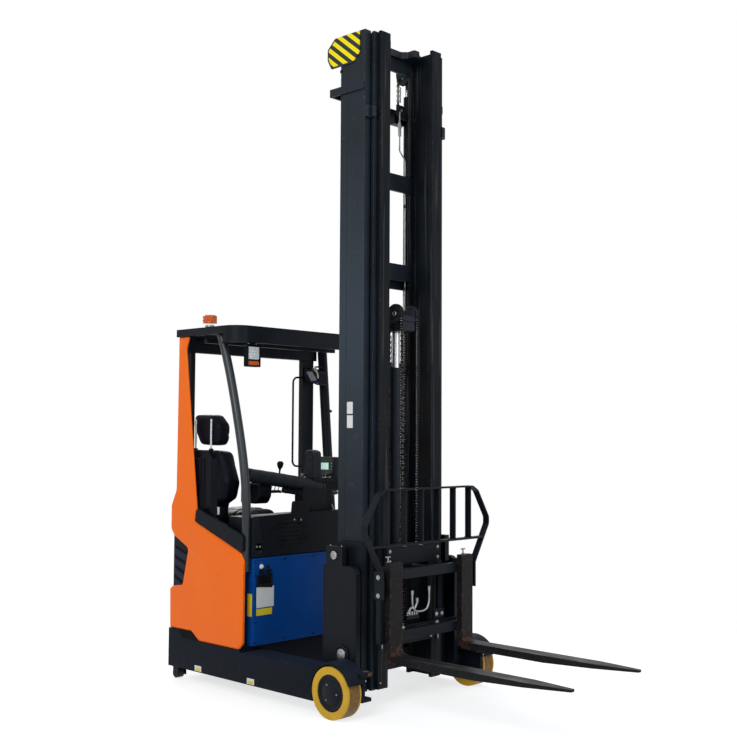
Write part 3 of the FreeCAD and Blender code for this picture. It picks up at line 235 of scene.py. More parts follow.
def floor_dirt(n, tone):
    """Brown dirt thrown up along the bottom of the chassis."""
    low = n.span(n.axes()[2], 0.04, 0.2, 1.0, 0.0)
    spots = n.span(n.noise(35, 6, 0.75), 0.5, 0.95)
    return n.mix(n.both(n.both(low, spots), 0.35), tone, (0.05, 0.045, 0.04))


def hazard_detail(n, tone):
    """Yellow bands across the outer faces of the hazard plates."""
    low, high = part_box("hazard_plates")
    x, _, z = n.axes()
    left, margin, pitch, lean = low[0], 0.009, 0.0633, 0.8
    slope = n.math("MULTIPLY_ADD", x, lean, z)
    start = 3.575 + lean * AXLE
    wave = n.math("FRACT", n.math("DIVIDE", n.math("SUBTRACT", slope, start), pitch))
    bands = n.between(wave, 0.02, 0.52, 0.015)
    inside = n.span(z, low[2] + margin, low[2] + margin + 0.002)
    for across, along, height in ((1, 0, 0), (0.67, -0.742, high[2] - 0.056), (0.882, 0.471, low[2] + 0.06)):
        reach = n.math("MULTIPLY_ADD", n.math("SUBTRACT", x, left), across,
                       n.math("MULTIPLY", n.math("SUBTRACT", z, height), along))
        inside = n.both(inside, n.span(reach, margin, margin + 0.002))
    worn = n.span(n.noise(60, 5, 0.8), 0.02, 0.1, 0.6, 1.0)
    return n.mix(n.both(n.both(bands, inside), worn), tone, (0.94, 0.78, 0.0))


def fork_detail(n, tone):
    """Rusty shank edges and scuffed tops."""
    x, _, z = n.axes()
    shank = n.span(x, AXLE + 0.215, AXLE + 0.26, 1.0, 0.1)
    worn = n.span(n.edges(n.rounded(0.012), 0.005, 0.08), 0.0, 1.0, 0.16, 1.0)
    heel = n.span(z, 0.2, 0.4, 1.0, 0.4)
    worn = n.math("MAXIMUM", worn, n.both(n.between(z, 0.26, 0.4, 0.04), 0.6))
    rust = n.both(n.both(n.span(n.noise(34, 9, 0.85), 0.52, 0.66), worn), n.both(shank, heel))
    shade = n.mix(n.span(n.noise(60, 5, 0.8), 0.4, 0.6), (0.42, 0.13, 0.025), (0.07, 0.032, 0.018))
    tone = n.mix(n.both(rust, 0.9), tone, shade)
    grazed = n.span(n.noise(18, 8, 0.8, stretch=(0.12, 1, 1)), 0.45, 0.8)
    rub = n.both(n.both(n.up(), n.span(x, AXLE + 0.3, AXLE + 0.5)), grazed)
    return n.mix(n.both(rub, 0.75), tone, (0.12, 0.125, 0.13))


def grease_detail(n, tone):
    """Brown grease and rubbed steel inside the inner uprights."""
    y = n.axes()[1]
    inner = n.span(n.math("ABSOLUTE", y), 0.268, 0.272, 1.0, 0.0)
    smear = n.span(n.noise(10, 8, 0.75, stretch=(1, 1, 0.12)), 0.35, 0.75)
    tone = n.mix(n.both(n.both(inner, smear), 0.5), tone, (0.02, 0.0165, 0.0125))
    lines = n.span(n.noise(60, 3, 0.5, stretch=(1, 1, 0.02)), 0.72, 0.82)
    return n.mix(n.both(n.both(inner, lines), 0.4), tone, (0.09, 0.09, 0.09))


def tread_detail(n, tone):
    """A worn, scuffed brown running face between clean yellow sides."""
    y = n.axes()[1]
    side = n.math("ABSOLUTE", n.math("SUBTRACT", n.math("ABSOLUTE", y), 0.585))
    face = n.span(side, 0.036, 0.044, 1.0, 0.0)
    scuff = n.span(n.noise(45, 8, 0.8), 0.2, 0.8)
    worn = n.mix(scuff, (0.1, 0.05, 0.015), (0.24, 0.125, 0.032))
    return n.mix(n.both(face, 0.95), tone, worn)


def glowing(name, colour, strength):
    """A lit surface, a little uneven."""
    n = new_material(name)
    tone = n.mix(n.noise(120), tuple(c * 0.85 for c in colour), colour)
    return n.paint(Base_Color=tone, Emission_Color=tone, Emission_Strength=strength, Roughness=0.3)


def clear(name, colour, through):
    """Tinted clear plastic."""
    n = new_material(name)
    tone = n.mix(n.noise(40), tuple(c * 0.8 for c in colour), colour)
    normal = n.bump(n.noise(180, 2), 0.1, 0.0005, n.rounded(0.001))
    return n.paint(Base_Color=tone, Roughness=n.span(n.noise(25), 0, 1, 0.08, 0.2),
                   Transmission_Weight=through, Normal=normal)


MAT = {
    "frame": coated("frame_paint", (0.0045, 0.0068, 0.0108), 0.45, 0.25, 4, chip_and_glint_amount=0.7,
                    chip_and_glint_colour=(0.05, 0.055, 0.06), dust_and_lit_top=0.12, dust_and_lit_top_colour=(0.04, 0.047, 0.06), gloss=0.12),
    # The front pillars take a lighter copy of the frame paint: the lighter tone is a painted highlight.
    "post": coated("pillar_paint_painted_highlight", (0.012, 0.018, 0.0235), 0.36, 0.2, 4, chip_and_glint_amount=0.5, chip_and_glint_colour=(0.08, 0.085, 0.09),
                   gloss=0.42),
    "mast": coated("mast_paint", (0.0105, 0.0165, 0.0235), 0.42, 0.3, 3, chip_and_glint_amount=1.0, chip_and_glint_colour=(0.2, 0.19, 0.17),
                   streaks=0.06, dust_and_lit_top=0.08, dust_and_lit_top_colour=(0.06, 0.065, 0.07), gloss=0.16, detail=mast_detail),
    # The chassis's bluish top tone is mostly painted light from above, with some dust.
    "chassis": coated("chassis_paint", (0.005, 0.008, 0.0145), 0.45, 0.22, 5, chip_and_glint_amount=0.9,
                      chip_and_glint_colour=(0.09, 0.095, 0.1), dust_and_lit_top=0.3, dust_and_lit_top_colour=(0.055, 0.068, 0.115), gloss=0.06,
                      detail=floor_dirt),
    # The orange paint's pale chips are partly a painted edge highlight.
    "orange": coated("orange_paint", (0.98, 0.162, 0.005), 0.33, 0.04, 3, edge=0.005, chip_and_glint_amount=0.2,
                     chip_and_glint_colour=(0.95, 0.6, 0.4), coat=0.08, gloss=0.15),
    "plastic": coated("black_plastic", (0.0036, 0.0048, 0.0085), 0.46, 0.25, 6, grain=0.35, dust_and_lit_top=0.08,
                      dust_and_lit_top_colour=(0.03, 0.035, 0.045), gloss=0.11),
    # The lighter blue on the battery's upward faces is painted light from above.
    "blue": coated("battery_paint", (0.001, 0.06, 0.285), 0.38, 0.1, 4, chip_and_glint_amount=0.5, chip_and_glint_colour=(0.06, 0.14, 0.34),
                   dust_and_lit_top=0.08, dust_and_lit_top_colour=(0.08, 0.14, 0.28), gloss=0.14),
    "iron": coated("cast_iron", (0.05, 0.05, 0.052), 0.6, 0.3, 12, grain=0.4, grain_scale=500),
    "steel": polished("plated_steel", (0.36, 0.37, 0.37), 0.32, tarnish=0.45),
    "chrome": polished("chrome", (0.6, 0.61, 0.63), 0.12, tarnish=0.25),
    "chain": polished("oiled_chain", (0.02, 0.019, 0.019), 0.5, tarnish=0.85,
                      tarnish_colour=(0.006, 0.0055, 0.005)),
    "white": coated("blank_label", (0.75, 0.75, 0.73), 0.4, 0.06, 9),
    "yellow": coated("yellow_label", (0.8, 0.62, 0.03), 0.4, 0.1, 9),
    "red": coated("red_plastic", (0.6, 0.03, 0.02), 0.35, 0.1, 9),
    "grey": coated("grey_print", (0.3, 0.3, 0.3), 0.5, 0.1, 9),
    # Near black for small dark parts, and for flat dark sheets that paint the shade inside holes, slots,
    # vents and recesses.
    "hole": coated("near_black_and_painted_gap_shade", (0.002, 0.002, 0.0025), 0.7, 0.2, 9, gloss=0.1),
    "screen": coated("dark_glass", (0.004, 0.004, 0.006), 0.12, 0.2, 9, gloss=0.3),
    "dark_plastic": coated("fine_black_plastic", (0.0026, 0.0036, 0.007), 0.38, 0.2, 9, gloss=0.08),
    "navy": coated("navy_plastic", (0.0085, 0.0125, 0.032), 0.42, 0.2, 9, grain=0.2, gloss=0.12),
    "cheek": coated("hood_cheek", (0.0085, 0.0115, 0.0165), 0.42, 0.2, 6, grain=0.3, gloss=0.12),
    "rust": coated("rusty_steel", (0.10, 0.045, 0.02), 0.7, 0.5, 30, grain=0.6, grain_scale=400),
    "sheave": coated("oiled_sheave", (0.012, 0.013, 0.017), 0.4, 0.4, 20, chip_and_glint_amount=0.8, chip_and_glint_colour=(0.2, 0.2, 0.19)),
    "vinyl": coated("seat_vinyl", (0.0028, 0.0038, 0.0078), 0.42, 0.25, 10, grain=0.5, grain_scale=700,
                    gloss=0.07),
    "soft_black": coated("soft_touch_black", (0.009, 0.0125, 0.018), 0.48, 0.2, 8, grain=0.35,
                         grain_scale=1000, gloss=0.16),
    # Painted highlight: a lighter grey for the thin rims round the hood's vent slots and the end ring of the
    # dash bar.
    "rim": coated("painted_highlight_rim", (0.03, 0.036, 0.042), 0.4, 0.2, 9, grain=0.3),
    "reflector": polished("reflector", (0.72, 0.78, 0.8), 0.3, tarnish=0.35,
                          tarnish_colour=(0.3, 0.33, 0.35)),
    "panel_light": coated("grey_screen", (0.2, 0.24, 0.28), 0.25, 0.15, 30, gloss=0.5),
    "lamp_core": coated("lamp_core", (0.95, 0.55, 0.15), 0.4, 0.15, 30),
    "amber": coated("amber_plastic", (0.9, 0.2, 0.02), 0.3, 0.1, 9),
    "hazard": coated("hazard_bands", (0.022, 0.025, 0.03), 0.4, 0.2, 6, detail=hazard_detail),
    "fork": coated("fork_steel", (0.0075, 0.0085, 0.0105), 0.45, 0.35, 8, chip_and_glint_amount=0.8, chip_and_glint_colour=(0.2, 0.16, 0.12),
                   detail=fork_detail, gloss=0.1),
    "inner": coated("greased_mast", (0.0075, 0.0105, 0.015), 0.42, 0.3, 3, chip_and_glint_amount=1.0,
                    chip_and_glint_colour=(0.16, 0.16, 0.155), detail=grease_detail, gloss=0.05),
    "tread": coated("yellow_tread", (0.66, 0.38, 0.03), 0.45, 0.12, 14, detail=tread_detail, grain=0.2),
    "castor": coated("castor_rubber", (0.03, 0.03, 0.032), 0.6, 0.3, 30, dust_and_lit_top=0.3),
    "lcd": glowing("blank_lcd", (0.62, 0.95, 0.88), 0.55),
    "green": glowing("lcd_rim", (0.25, 0.8, 0.4), 0.25),
    "blue_lamp": glowing("blue_lamp", (0.05, 0.12, 0.9), 0.8),
    "lens": clear("amber_lens", (1.0, 0.2, 0.015), 0.35),
}

NODE_MATERIALS = {
    "post": "front_pillars",
    "frame": "drive_unit castor_fork roof_bars rear_posts steering_column reach_carriage tilt_frame "
             "sideshift_frame load_backrest fork_carriage guard_roof",
    "chassis": "chassis_frame reach_leg_right reach_leg_left seat_base",
    "mast": "mast_outer outer_ties mast_middle middle_ties inner_ties lift_barrels free_lift_barrel "
            "reach_barrel tilt_cylinders",
    "inner": "mast_inner",
    "orange": "side_panel_right side_panel_left",
    "plastic": "cabin_front side_trim_right rear_cover arm_console dashboard instrument_pod display monitor "
               "work_light steering_wheel dash_bar",
    "blue": "battery_box",
    "iron": "motor_block",
    "chrome": "lift_rods reach_rod tilt_rods",
    "chain": "middle_chains crosshead",
    "fork": "fork_right fork_left",
    "hazard": "hazard_plates",
    "tread": "load_wheel_right load_wheel_left drive_wheel",
    "castor": "castor_wheel",
    "amber": "beacon",
}
for key, names in NODE_MATERIALS.items():
    for name in names.split():
        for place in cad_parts[name].material_slots:
            place.material = MAT[key]

# --- Shapes ---
AXIS = {"X": (1, 0, 0), "Y": (0, 1, 0), "Z": (0, 0, 1), "-X": (-1, 0, 0), "-Y": (0, -1, 0)}


def rounded_outline(points, steps=5):
    """An outline whose points may carry a corner radius, as plain 2-D points."""
    done = []
    for index, point in enumerate(points):
        here = Vector(point[:2])
        radius = point[2] if len(point) > 2 else 0
        if not radius:
            done.append(here)
            continue
        back = Vector(points[index - 1][:2]) - here
        on = Vector(points[(index + 1) % len(points)][:2]) - here
        angle = back.angle(on)
        reach = min(radius / math.tan(angle / 2), back.length * 0.49, on.length * 0.49)
        start = here + back.normalized() * reach
        end = here + on.normalized() * reach
        for step in range(steps + 1):
            t = step / steps
            done.append(start * (1 - t) ** 2 + here * 2 * t * (1 - t) + end * t * t)
    return done


def spline(points, steps=8, closed=False):
    """Points of a smooth curve through the given points."""
    knots = [Vector(point) for point in points]
    count = len(knots)
    done = []
    for index in range(count if closed else count - 1):
        a, b, c, d = (knots[(index + shift) % count]
                      if closed else knots[min(max(index + shift, 0), count - 1)] for shift in (-1, 0, 1, 2))
        for step in range(steps):
            t = step / steps
            done.append(0.5 * ((2 * b) + (c - a) * t + (2 * a - 5 * b + 4 * c - d) * t * t
                               + (3 * b - a - 3 * c + d) * t ** 3))
    return done if closed else done + [knots[-1]]


def placed(name, data):
    """A new object in the scene."""
    ob = bpy.data.objects.new(name, data)
    bpy.context.scene.collection.objects.link(ob)
    return ob


class Shape:
    """Gathers the parts of one piece. Lengths are millimetres from the axle."""

    def __init__(self):
        self.points = []
        self.faces = []
        self.paints = []

    def take(self, mesh, paint):
        start = len(self.points)
        mesh.verts.index_update()
        self.points += [vert.co.copy() for vert in mesh.verts]
        for face in mesh.faces:
            self.faces.append([start + vert.index for vert in face.verts])
        self.paints += [paint] * len(mesh.faces)
        mesh.free()

    def grid(self, rows, paint=0, wrap=True, caps=True):
        """Faces between rows of points, each row a ring unless wrap is off."""
        start = len(self.points)
        width = len(rows[0])
        for row in rows:
            self.points += [Vector(point) for point in row]
        across = width if wrap else width - 1
        for level_index in range(len(rows) - 1):
            for index in range(across):
                a = start + level_index * width + index
                b = start + level_index * width + (index + 1) % width
                self.faces.append([a, b, b + width, a + width])
                self.paints.append(paint)
        if caps and wrap:
            self.faces.append([start + index for index in reversed(range(width))])
            self.faces.append([start + (len(rows) - 1) * width + index for index in range(width)])
            self.paints += [paint, paint]

    def block(self, x, y, z, edge=1.5, paint=0, turn=None, steps=1):
        """A box between spans, its edges eased; turn is (axis, degrees) about its centre."""
        mesh = bmesh.new()
        bmesh.ops.create_cube(mesh, size=1)
        centre = Vector((sum(x) / 2, sum(y) / 2, sum(z) / 2))
        size = Vector((abs(x[1] - x[0]), abs(y[1] - y[0]), abs(z[1] - z[0])))
        for vert in mesh.verts:
            vert.co = Vector(a * b for a, b in zip(vert.co, size))
        if edge:
            bmesh.ops.bevel(mesh, geom=mesh.edges[:], offset=min(edge, min(size) * 0.45), segments=steps,
                            profile=0.5, affect="EDGES")
        if turn:
            bmesh.ops.rotate(mesh, verts=mesh.verts[:], matrix=Matrix.Rotation(math.radians(turn[1]), 3,
                                                                               turn[0]))
        bmesh.ops.translate(mesh, verts=mesh.verts[:], vec=centre)
        self.take(mesh, paint)

    def lathe(self, centre, axis, profile, sides=32, paint=0, ring=False):
        """A profile of (radius, along) turned round an axis; a ring's profile closes on itself."""
        axis = Vector(AXIS[axis] if isinstance(axis, str) else axis).normalized()
        side = axis.orthogonal().normalized()
        other = axis.cross(side)
        centre = Vector(centre)
        rows = []
        for radius, along in profile:
            rows.append([centre + axis * along + (side * math.cos(turn) + other * math.sin(turn))
                         * max(radius, 0.01) for turn in (2 * math.pi * index / sides
                                                          for index in range(sides))])
        if ring:
            rows.append(rows[0])
        self.grid(rows, paint, caps=not ring)

    def rod(self, a, b, radius, sides=20, edge=1.0, paint=0):
        """A round bar between two places, its ends eased."""
        a, b = Vector(a), Vector(b)
        length = (b - a).length
        self.lathe(a, b - a, [(radius - edge, 0), (radius, edge), (radius, length - edge),
                              (radius - edge, length)], sides, paint)

    def sweep(self, points, radius, sides=10, paint=0, closed=False):
        """A tube along a row of points."""
        points = [Vector(point) for point in points]
        rows = []
        side = None
        for index, point in enumerate(points):
            after = points[(index + 1) % len(points)] if closed or index + 1 < len(points) else point
            before = points[index - 1] if closed or index else point
            ahead_way = (after - before).normalized()
            if side is None:
                side = ahead_way.orthogonal().normalized()
            side = (side - ahead_way * side.dot(ahead_way)).normalized()
            other = ahead_way.cross(side)
            rows.append([point + (side * math.cos(turn) + other * math.sin(turn)) * radius
                         for turn in (2 * math.pi * k / sides for k in range(sides))])
        if closed:
            rows.append(rows[0])
        self.grid(rows, paint, caps=not closed)

    def prism(self, plane, outline, span, edge=1.0, paint=0, steps=5):
        """An outline drawn in the XY, XZ or YZ plane, with thickness along the third axis."""
        flat = rounded_outline(outline, steps)
        order = {"XY": (0, 1, 2), "XZ": (0, 2, 1), "YZ": (1, 2, 0)}[plane]
        mesh = bmesh.new()
        rings = []
        for level_value in span:
            ring = []
            for point in flat:
                place = [0, 0, 0]
                place[order[0]], place[order[1]], place[order[2]] = point[0], point[1], level_value
                ring.append(mesh.verts.new(place))
            rings.append(ring)
        count = len(flat)
        mesh.faces.new(rings[0])
        mesh.faces.new(list(reversed(rings[1])))
        for index in range(count):
            after = (index + 1) % count
            mesh.faces.new([rings[0][index], rings[1][index], rings[1][after], rings[0][after]])
        bmesh.ops.recalc_face_normals(mesh, faces=mesh.faces[:])
        if edge:
            rims = [item for item in mesh.edges if any(len(face.verts) == count or len(face.verts) > 4
                                                       for face in item.link_faces)]
            bmesh.ops.bevel(mesh, geom=rims, offset=edge, segments=1, profile=0.5, affect="EDGES")
        self.take(mesh, paint)

    def plate(self, plane, a, b, span, radii, *rest):
        """A prism over a rectangle; the radii are its low corners' and its high corners'."""
        low, high = radii
        outline = [(a[0], b[0], low), (a[1], b[0], low), (a[1], b[1], high), (a[0], b[1], high)]
        self.prism(plane, outline, span, *rest)

    def bolt(self, centre, axis, radius=7, height=5, paint=0, washer=True):
        """A hexagon head on its washer, seated at a centre and standing along an axis."""
        if washer:
            self.lathe(centre, axis, [(radius * 1.5, 0), (radius * 1.5, 1), (radius * 1.35, 1.4)], 16, paint)
        self.lathe(centre, axis, [(radius, 1), (radius, height - 0.6), (radius * 0.85, height)], 6, paint)

    def mesh(self, name, weld=0.0):
        """The gathered parts as a mesh of the frame, points nearer than weld made one."""
        mesh = bpy.data.meshes.new(name)
        mesh.from_pydata([at(*point) for point in self.points], [], self.faces)
        if not weld:
            mesh.polygons.foreach_set("material_index", self.paints)
        work = bmesh.new()
        work.from_mesh(mesh)
        if weld:
            bmesh.ops.remove_doubles(work, verts=work.verts[:], dist=weld)
        bmesh.ops.recalc_face_normals(work, faces=work.faces[:])
        work.to_mesh(mesh)
        work.free()
        return mesh

    def done(self, name, body, slot, materials, replaces=None, angle=35):
        """Makes the object, smooths it, and says what it rides on; the slot argument is not used."""
        mesh = self.mesh(name)
        for material in materials.split():
            mesh.materials.append(MAT[material])
        mesh.polygons.foreach_set("use_smooth", [True] * len(mesh.polygons))
        mesh.set_sharp_from_angle(angle=math.radians(angle))
        mesh.validate()
        ob = placed(name, mesh)
        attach(ob, body)
        if replaces:
            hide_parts(replaces)
        return ob


def piece(body, slot, materials, replaces=None, angle=35):
    """Turns the drawing function below it into a piece of the same name."""
    def build(draw):
        shape = Shape()
        draw(shape)
        return shape.done(draw.__name__, body, slot, materials, replaces, angle)
    return build


# --- Camera, floor and light ---
# Solved from the photo: angles in degrees, the place in millimetres from the axle.
SENSOR_WIDTH, LENS = 36, 53.782
CAMERA_PLACE = (4359.4, -4877.7, 1552.7)
YAW, PITCH, ROLL = (math.radians(angle) for angle in (43.8956, 3.3985, 0.3217))
ahead = Vector((-math.sin(YAW) * math.cos(PITCH), math.cos(YAW) * math.cos(PITCH), math.sin(PITCH)))
level = Vector((math.cos(YAW), math.sin(YAW), 0))
over = level.cross(ahead)
right = level * math.cos(ROLL) + over * math.sin(ROLL)
top = over * math.cos(ROLL) - level * math.sin(ROLL)
camera = placed("camera", bpy.data.cameras.new("camera"))
camera.data.sensor_width, camera.data.lens = SENSOR_WIDTH, LENS
camera.matrix_world = Matrix((right, top, -ahead)).transposed().to_4x4()
camera.matrix_world.translation = at(*CAMERA_PLACE)
bpy.context.scene.camera = camera
bpy.context.scene.view_settings.view_transform = "Standard"


def floor_material():
    """Plain pale floor that keeps the shadow near the object and runs out to white."""
    n = new_material("studio_floor")
    near = n.add("AddShader", n.add("Emission", Strength=0.72), n.add("BsdfDiffuse", (0.5, 0.5, 0.5)))
    distance = n.add("VectorMath", n.coord, operation="LENGTH", out="Value")
    outward = n.add("MapRange", distance, 2.2, 3.8, interpolation_type="SMOOTHSTEP")
    seen = n.add("MixShader", outward, near, n.add("Emission"))
    n.add("OutputMaterial", n.view_only(seen, n.add("BsdfDiffuse", (0.82, 0.82, 0.82))))
    return n.owner


def studio_floor(half=40, drop=0.0005):
    """A square just under the object's lowest point."""
    mesh = bpy.data.meshes.new("floor")
    mesh.from_pydata([(-half, -half, 0), (half, -half, 0), (half, half, 0), (-half, half, 0)], [],
                     [(0, 1, 2, 3)])
    mesh.materials.append(floor_material())
    floor = placed("floor", mesh)
    floor.location.z = -drop


def studio_world():
    """White to the camera, a dim cool light to everything else."""
    n = Nodes(bpy.data.worlds.new("studio"))
    n.add("OutputWorld", n.view_only(n.add("Background", (1, 1, 1)),
                                     n.add("Background", (0.86, 0.93, 1), 0.42)))
    bpy.context.scene.world = n.owner


def lamp(name, place, target, size, watts, tint=(1, 1, 1)):
    """A square or oblong lamp that looks at a target."""
    light = bpy.data.lights.new(name, "AREA")
    light.shape = "RECTANGLE"
    light.size, light.size_y = size
    light.energy = watts
    light.color = tint
    ob = placed(name, light)
    ob.location = place
    ob.rotation_euler = (Vector(target) - Vector(place)).to_track_quat("-Z", "Y").to_euler()


studio_floor()
studio_world()
lamp("key", (3.0, -7.5, 5.5), (-0.2, 0, 1.4), (4, 4), 370)
lamp("fill", (7.5, 1.0, 3.5), (0, 0, 1.6), (3, 5), 130, (0.92, 0.96, 1))
lamp("back", (-6.5, 2.5, 4.5), (-0.5, 0, 1.4), (3, 4), 260)

# --- Mast: sheaves, chains, pipes, stops and labels ---
def leaf_chain(shape, x, y, low, top, paint=1):
    """Plates and pins of a leaf chain that runs straight up."""
    pitch = 15.9
    count = int((top - low) / pitch)
    for index in range(count):
        z = low + index * pitch
        wide = index % 2
        for side in (-1, 1):
            middle = y + side * (7.0 if wide else 3.2)
            shape.block((x - 5, x + 5), (middle - 1.6, middle + 1.6), (z - 1.5, z + pitch + 1.5), 0, paint)
        shape.lathe((x, y - 9.4, z), "Y", [(2.6, 0), (3.1, 0.6), (3.1, 18.2), (2.6, 18.8)], 8, paint + 1)


def chain_arc(shape, x, y, z, reach):
    """The half turn of a chain over its sheave."""
    for turn in range(1, 10):
        angle = math.pi * turn / 10
        link_x, link_z = x + reach * math.cos(angle), z + reach * math.sin(angle)
        shape.block((link_x - 5, link_x + 5), (y - 8, y + 8), (link_z - 8, link_z + 8), 1, 1,
                    ("Y", 90 - math.degrees(angle)))


def sheave(shape, centre, width, radius, paint=0, pin_paint=2):
    """A grooved chain sheave with a ring and a pin end."""
    half = width / 2
    groove = radius - 9
    for side in (-1, 1):
        profile = [(0, half - 3), (15, half - 3), (16, half - 5), (groove - 12, half - 5),
                   (groove - 8, half), (radius - 1.5, half), (radius, half - 1.5), (radius, half - 2.5),
                   (groove, half - 4), (groove, 0)]
        shape.lathe(centre, (0, side, 0), profile, 40, paint)
        shape.lathe(centre, (0, side, 0), [(14, half - 5), (14, half), (12.5, half + 1.5), (9, half + 1.5),
                                           (8, half - 4)], 20, pin_paint, ring=True)
        shape.lathe(centre, (0, side, 0), [(8.5, half - 4), (8.5, half), (0, half)], 16, paint)


@piece("mast_middle", "chain_steel", "sheave chain steel mast", replaces="middle_chains")
def middle_chain_run(shape):
    """The middle stage's lift chains over their sheaves, with the yokes that carry them."""
    low, high = box_mm("middle_chains")
    x = (low[0] + high[0]) / 2
    z = high[2] - 54
    anchor_top = 3575
    for y in (-215, 215):
        sheave(shape, (x, y, z), 22, 54)
        leaf_chain(shape, x - 48, y, anchor_top + 6, z)
        leaf_chain(shape, x + 48, y, low[2] + 2, z)
        chain_arc(shape, x, y, z, 48)
        shape.rod((x - 48, y, anchor_top + 6), (x - 48, y, anchor_top + 70), 6.5, 12, 1, 2)
        for index in range(8):
            thread_z = anchor_top + 12 + index * 7
            shape.lathe((x - 48, y, thread_z), "Z", [(6.4, 0), (7.4, 2.5), (6.4, 5)], 12, 2)
        shape.rod((x + 48, y, low[2] + 1), (x + 48, y, low[2] + 95), 6.5, 12, 1, 2)
        for side in (-1, 1):
            cheek = sorted((y + side * 12, y + side * 17))
            shape.prism("XZ", [(x - 52, 3800, 24), (x + 57, 3800, 24), (x + 57, 3911), (x - 52, 3911, 8)],
                        cheek, 1, 3)


@piece("crosshead", "chain_steel", "sheave chain chrome mast", replaces="crosshead")
def crosshead_run(shape):
    """Free-lift rod, crosshead, its two sheaves and their chains."""
    low, high = box_mm("crosshead")
    z = high[2] - 58
    shape.rod((-110, 0, low[2] + 5), (-110, 0, 2165), 26, 32, 2, 2)
    shape.block((-140, 0), (-58, 58), (2165, 2225), 5, 3)
    for span, height, radius in (((-56, -44), 2300, 24), ((44, 56), 2300, 24), ((-44, 44), 2262, 16)):
        shape.prism("XZ", [(-92, 2225), (2, 2225), (-2, height, radius), (-88, height, radius)], span, 1.5, 3)
    for y in (-70, 70):
        sheave(shape, (-45, y, z), 24, 58)
        leaf_chain(shape, 5, y, 902, z)
        leaf_chain(shape, -95, y, 422, z)
        chain_arc(shape, -45, y, z, 51)
        shape.bolt((-70, y * 0.4, 2225), "Z", 7, 8, 2)


@piece("mast_middle", "rod_chrome", "steel mast")
def mast_pipes(shape):
    """Hydraulic pipes, their clamps and the threaded chain anchors on the middle stage."""
    x = -199
    runs = [(x, 128, 3560), (x, 128, 3340), (x, 132, 3310), (x, 172, 3268), (x, 180, 3236), (x, 181, 3000),
            (x, 181, 2200), (x, 181, 600), (x, 181, 300)]
    shape.sweep(spline(runs, 6), 5, 12)
    shape.rod((x, 128, 3405), (x, 128, 3490), 10, 6, 1.5)
    shape.rod((x, 128, 3455), (x, 128, 3475), 13, 6, 1.5)
    for z in (2960, 2440, 1940, 1200, 700):
        shape.block((x - 8, x + 6), (170, 192), (z, z + 22), 2, 1)
        shape.bolt((x + 6, 176, z + 11), "X", 4, 4, 0, False)
    for y in (118, 138):
        shape.rod((x - 4, y, 3620), (x - 4, y, 3720), 4, 10, 0.8)
        for z in range(3630, 3715, 6):
            shape.lathe((x - 4, y, z), "Z", [(4, 0), (4.9, 1.5), (4, 3)], 10)
    shape.prism("YZ", [(104, 3540), (196, 3510, 20), (204, 3560, 20), (176, 3606, 20), (104, 3606, 8)],
                (x - 10, x - 4), 1, 1)
    shape.bolt((x - 4, 150, 3575), "X", 6)


@piece("reach_carriage", "frame_black", "mast steel white hole")
def mast_top_details(shape):
    """Stops, bolts and blank labels on the outer stage, and the bolts of the strap."""
    for side in (-1, 1):
        shape.block((-40, -16), (side * 306, side * 352), (3396, 3464), 2)
        shape.bolt((-40, side * 326, 149), "X", 6, 6, 1, False)
        shape.bolt((-40, side * 326, 200), "X", 5, 5, 1, False)
        # Dark discs painted as the shade inside holes in the web.
        shape.lathe((-235, side * 350, 3708), (0, side, 0), [(11, 0), (11, 0.8), (0, 0.8)], 20, 3)
    shape.block((-169, -121), (-351, -350), (1668, 1738), 0.3, 2)
    shape.block((-168, -120), (-351, -350), (1586, 1660), 0.3, 2)


@piece("mast_inner", "frame_black", "mast steel")
def inner_mast_details(shape):
    """Pins, bolts and a clamped pipe on the inner stage."""
    for side in (-1, 1):
        shape.rod((20, side * 245, 333), (20, side * 245, 360), 4, 12, 1, 1)
        shape.block((16, 22), (side * 245 - 12, side * 245 + 12), (320, 372), 1)
        shape.bolt((16, side * 255, 142), "X", 5, 5, 1, False)
    shape.sweep(spline([(-150, 108, 300), (-150, 108, 1300), (-150, 108, 2140), (-148, 112, 2300),
                        (-150, 120, 2400)], 6), 5.5, 12, 1)
    for z in (600, 1200, 1800):
        shape.block((-160, -140), (98, 118), (z, z + 20), 2)


@piece("reach_carriage", "frame_black", "frame steel hole")
def carriage_details(shape):
    """Pivot rings, pins and bolts on the reach carriage's side plates."""
    for side in (-1, 1):
        y = side * 450
        out = (0, side, 0)
        ring = [(0, 0), (50, 0), (52, 2), (52, 9), (49, 12), (40, 12), (37, 8), (30, 8)]
        shape.lathe((-92, y, 315), out, ring, 48)
        shape.lathe((-92, y, 315), out, [(31, 4), (31, 13), (28, 15), (0, 15)], 40, 1)
        # Six dark discs painted as the shade inside the holes of the pivot cap.
        for turn in range(6):
            angle = math.pi * turn / 3
            shape.lathe((-92 + 20 * math.cos(angle), y + side * 15, 315 + 20 * math.sin(angle)), out,
                        [(3, -0.4), (3, 0.4), (0, 0.4)], 10, 2)
        shape.lathe((-163, y, 862), out, [(30, 0), (30, 3), (24, 4)], 36)
        shape.lathe((-163, y, 862), out, [(24, 2), (24, 8), (21, 10), (0, 10)], 36, 1)
        for x in (-212, -122):
            shape.bolt((x, side * 432, 911), "Z", 5, 6, 1, False)
        edge = [(-246, 300), (-246, 776), (-244, 794, 20), (-226, 802), (-36, 802, 50), (6, 760), (6, 300)]
        border = rounded_outline(edge, 6)
        inner = [(point[0] * 0.96 - 4.8, (point[1] - 550) * 0.98 + 550) for point in border]
        shape.grid([[(p[0], y, p[1]) for p in border], [(p[0], y + side * 0.8, p[1]) for p in inner]],
                   wrap=False, caps=False)


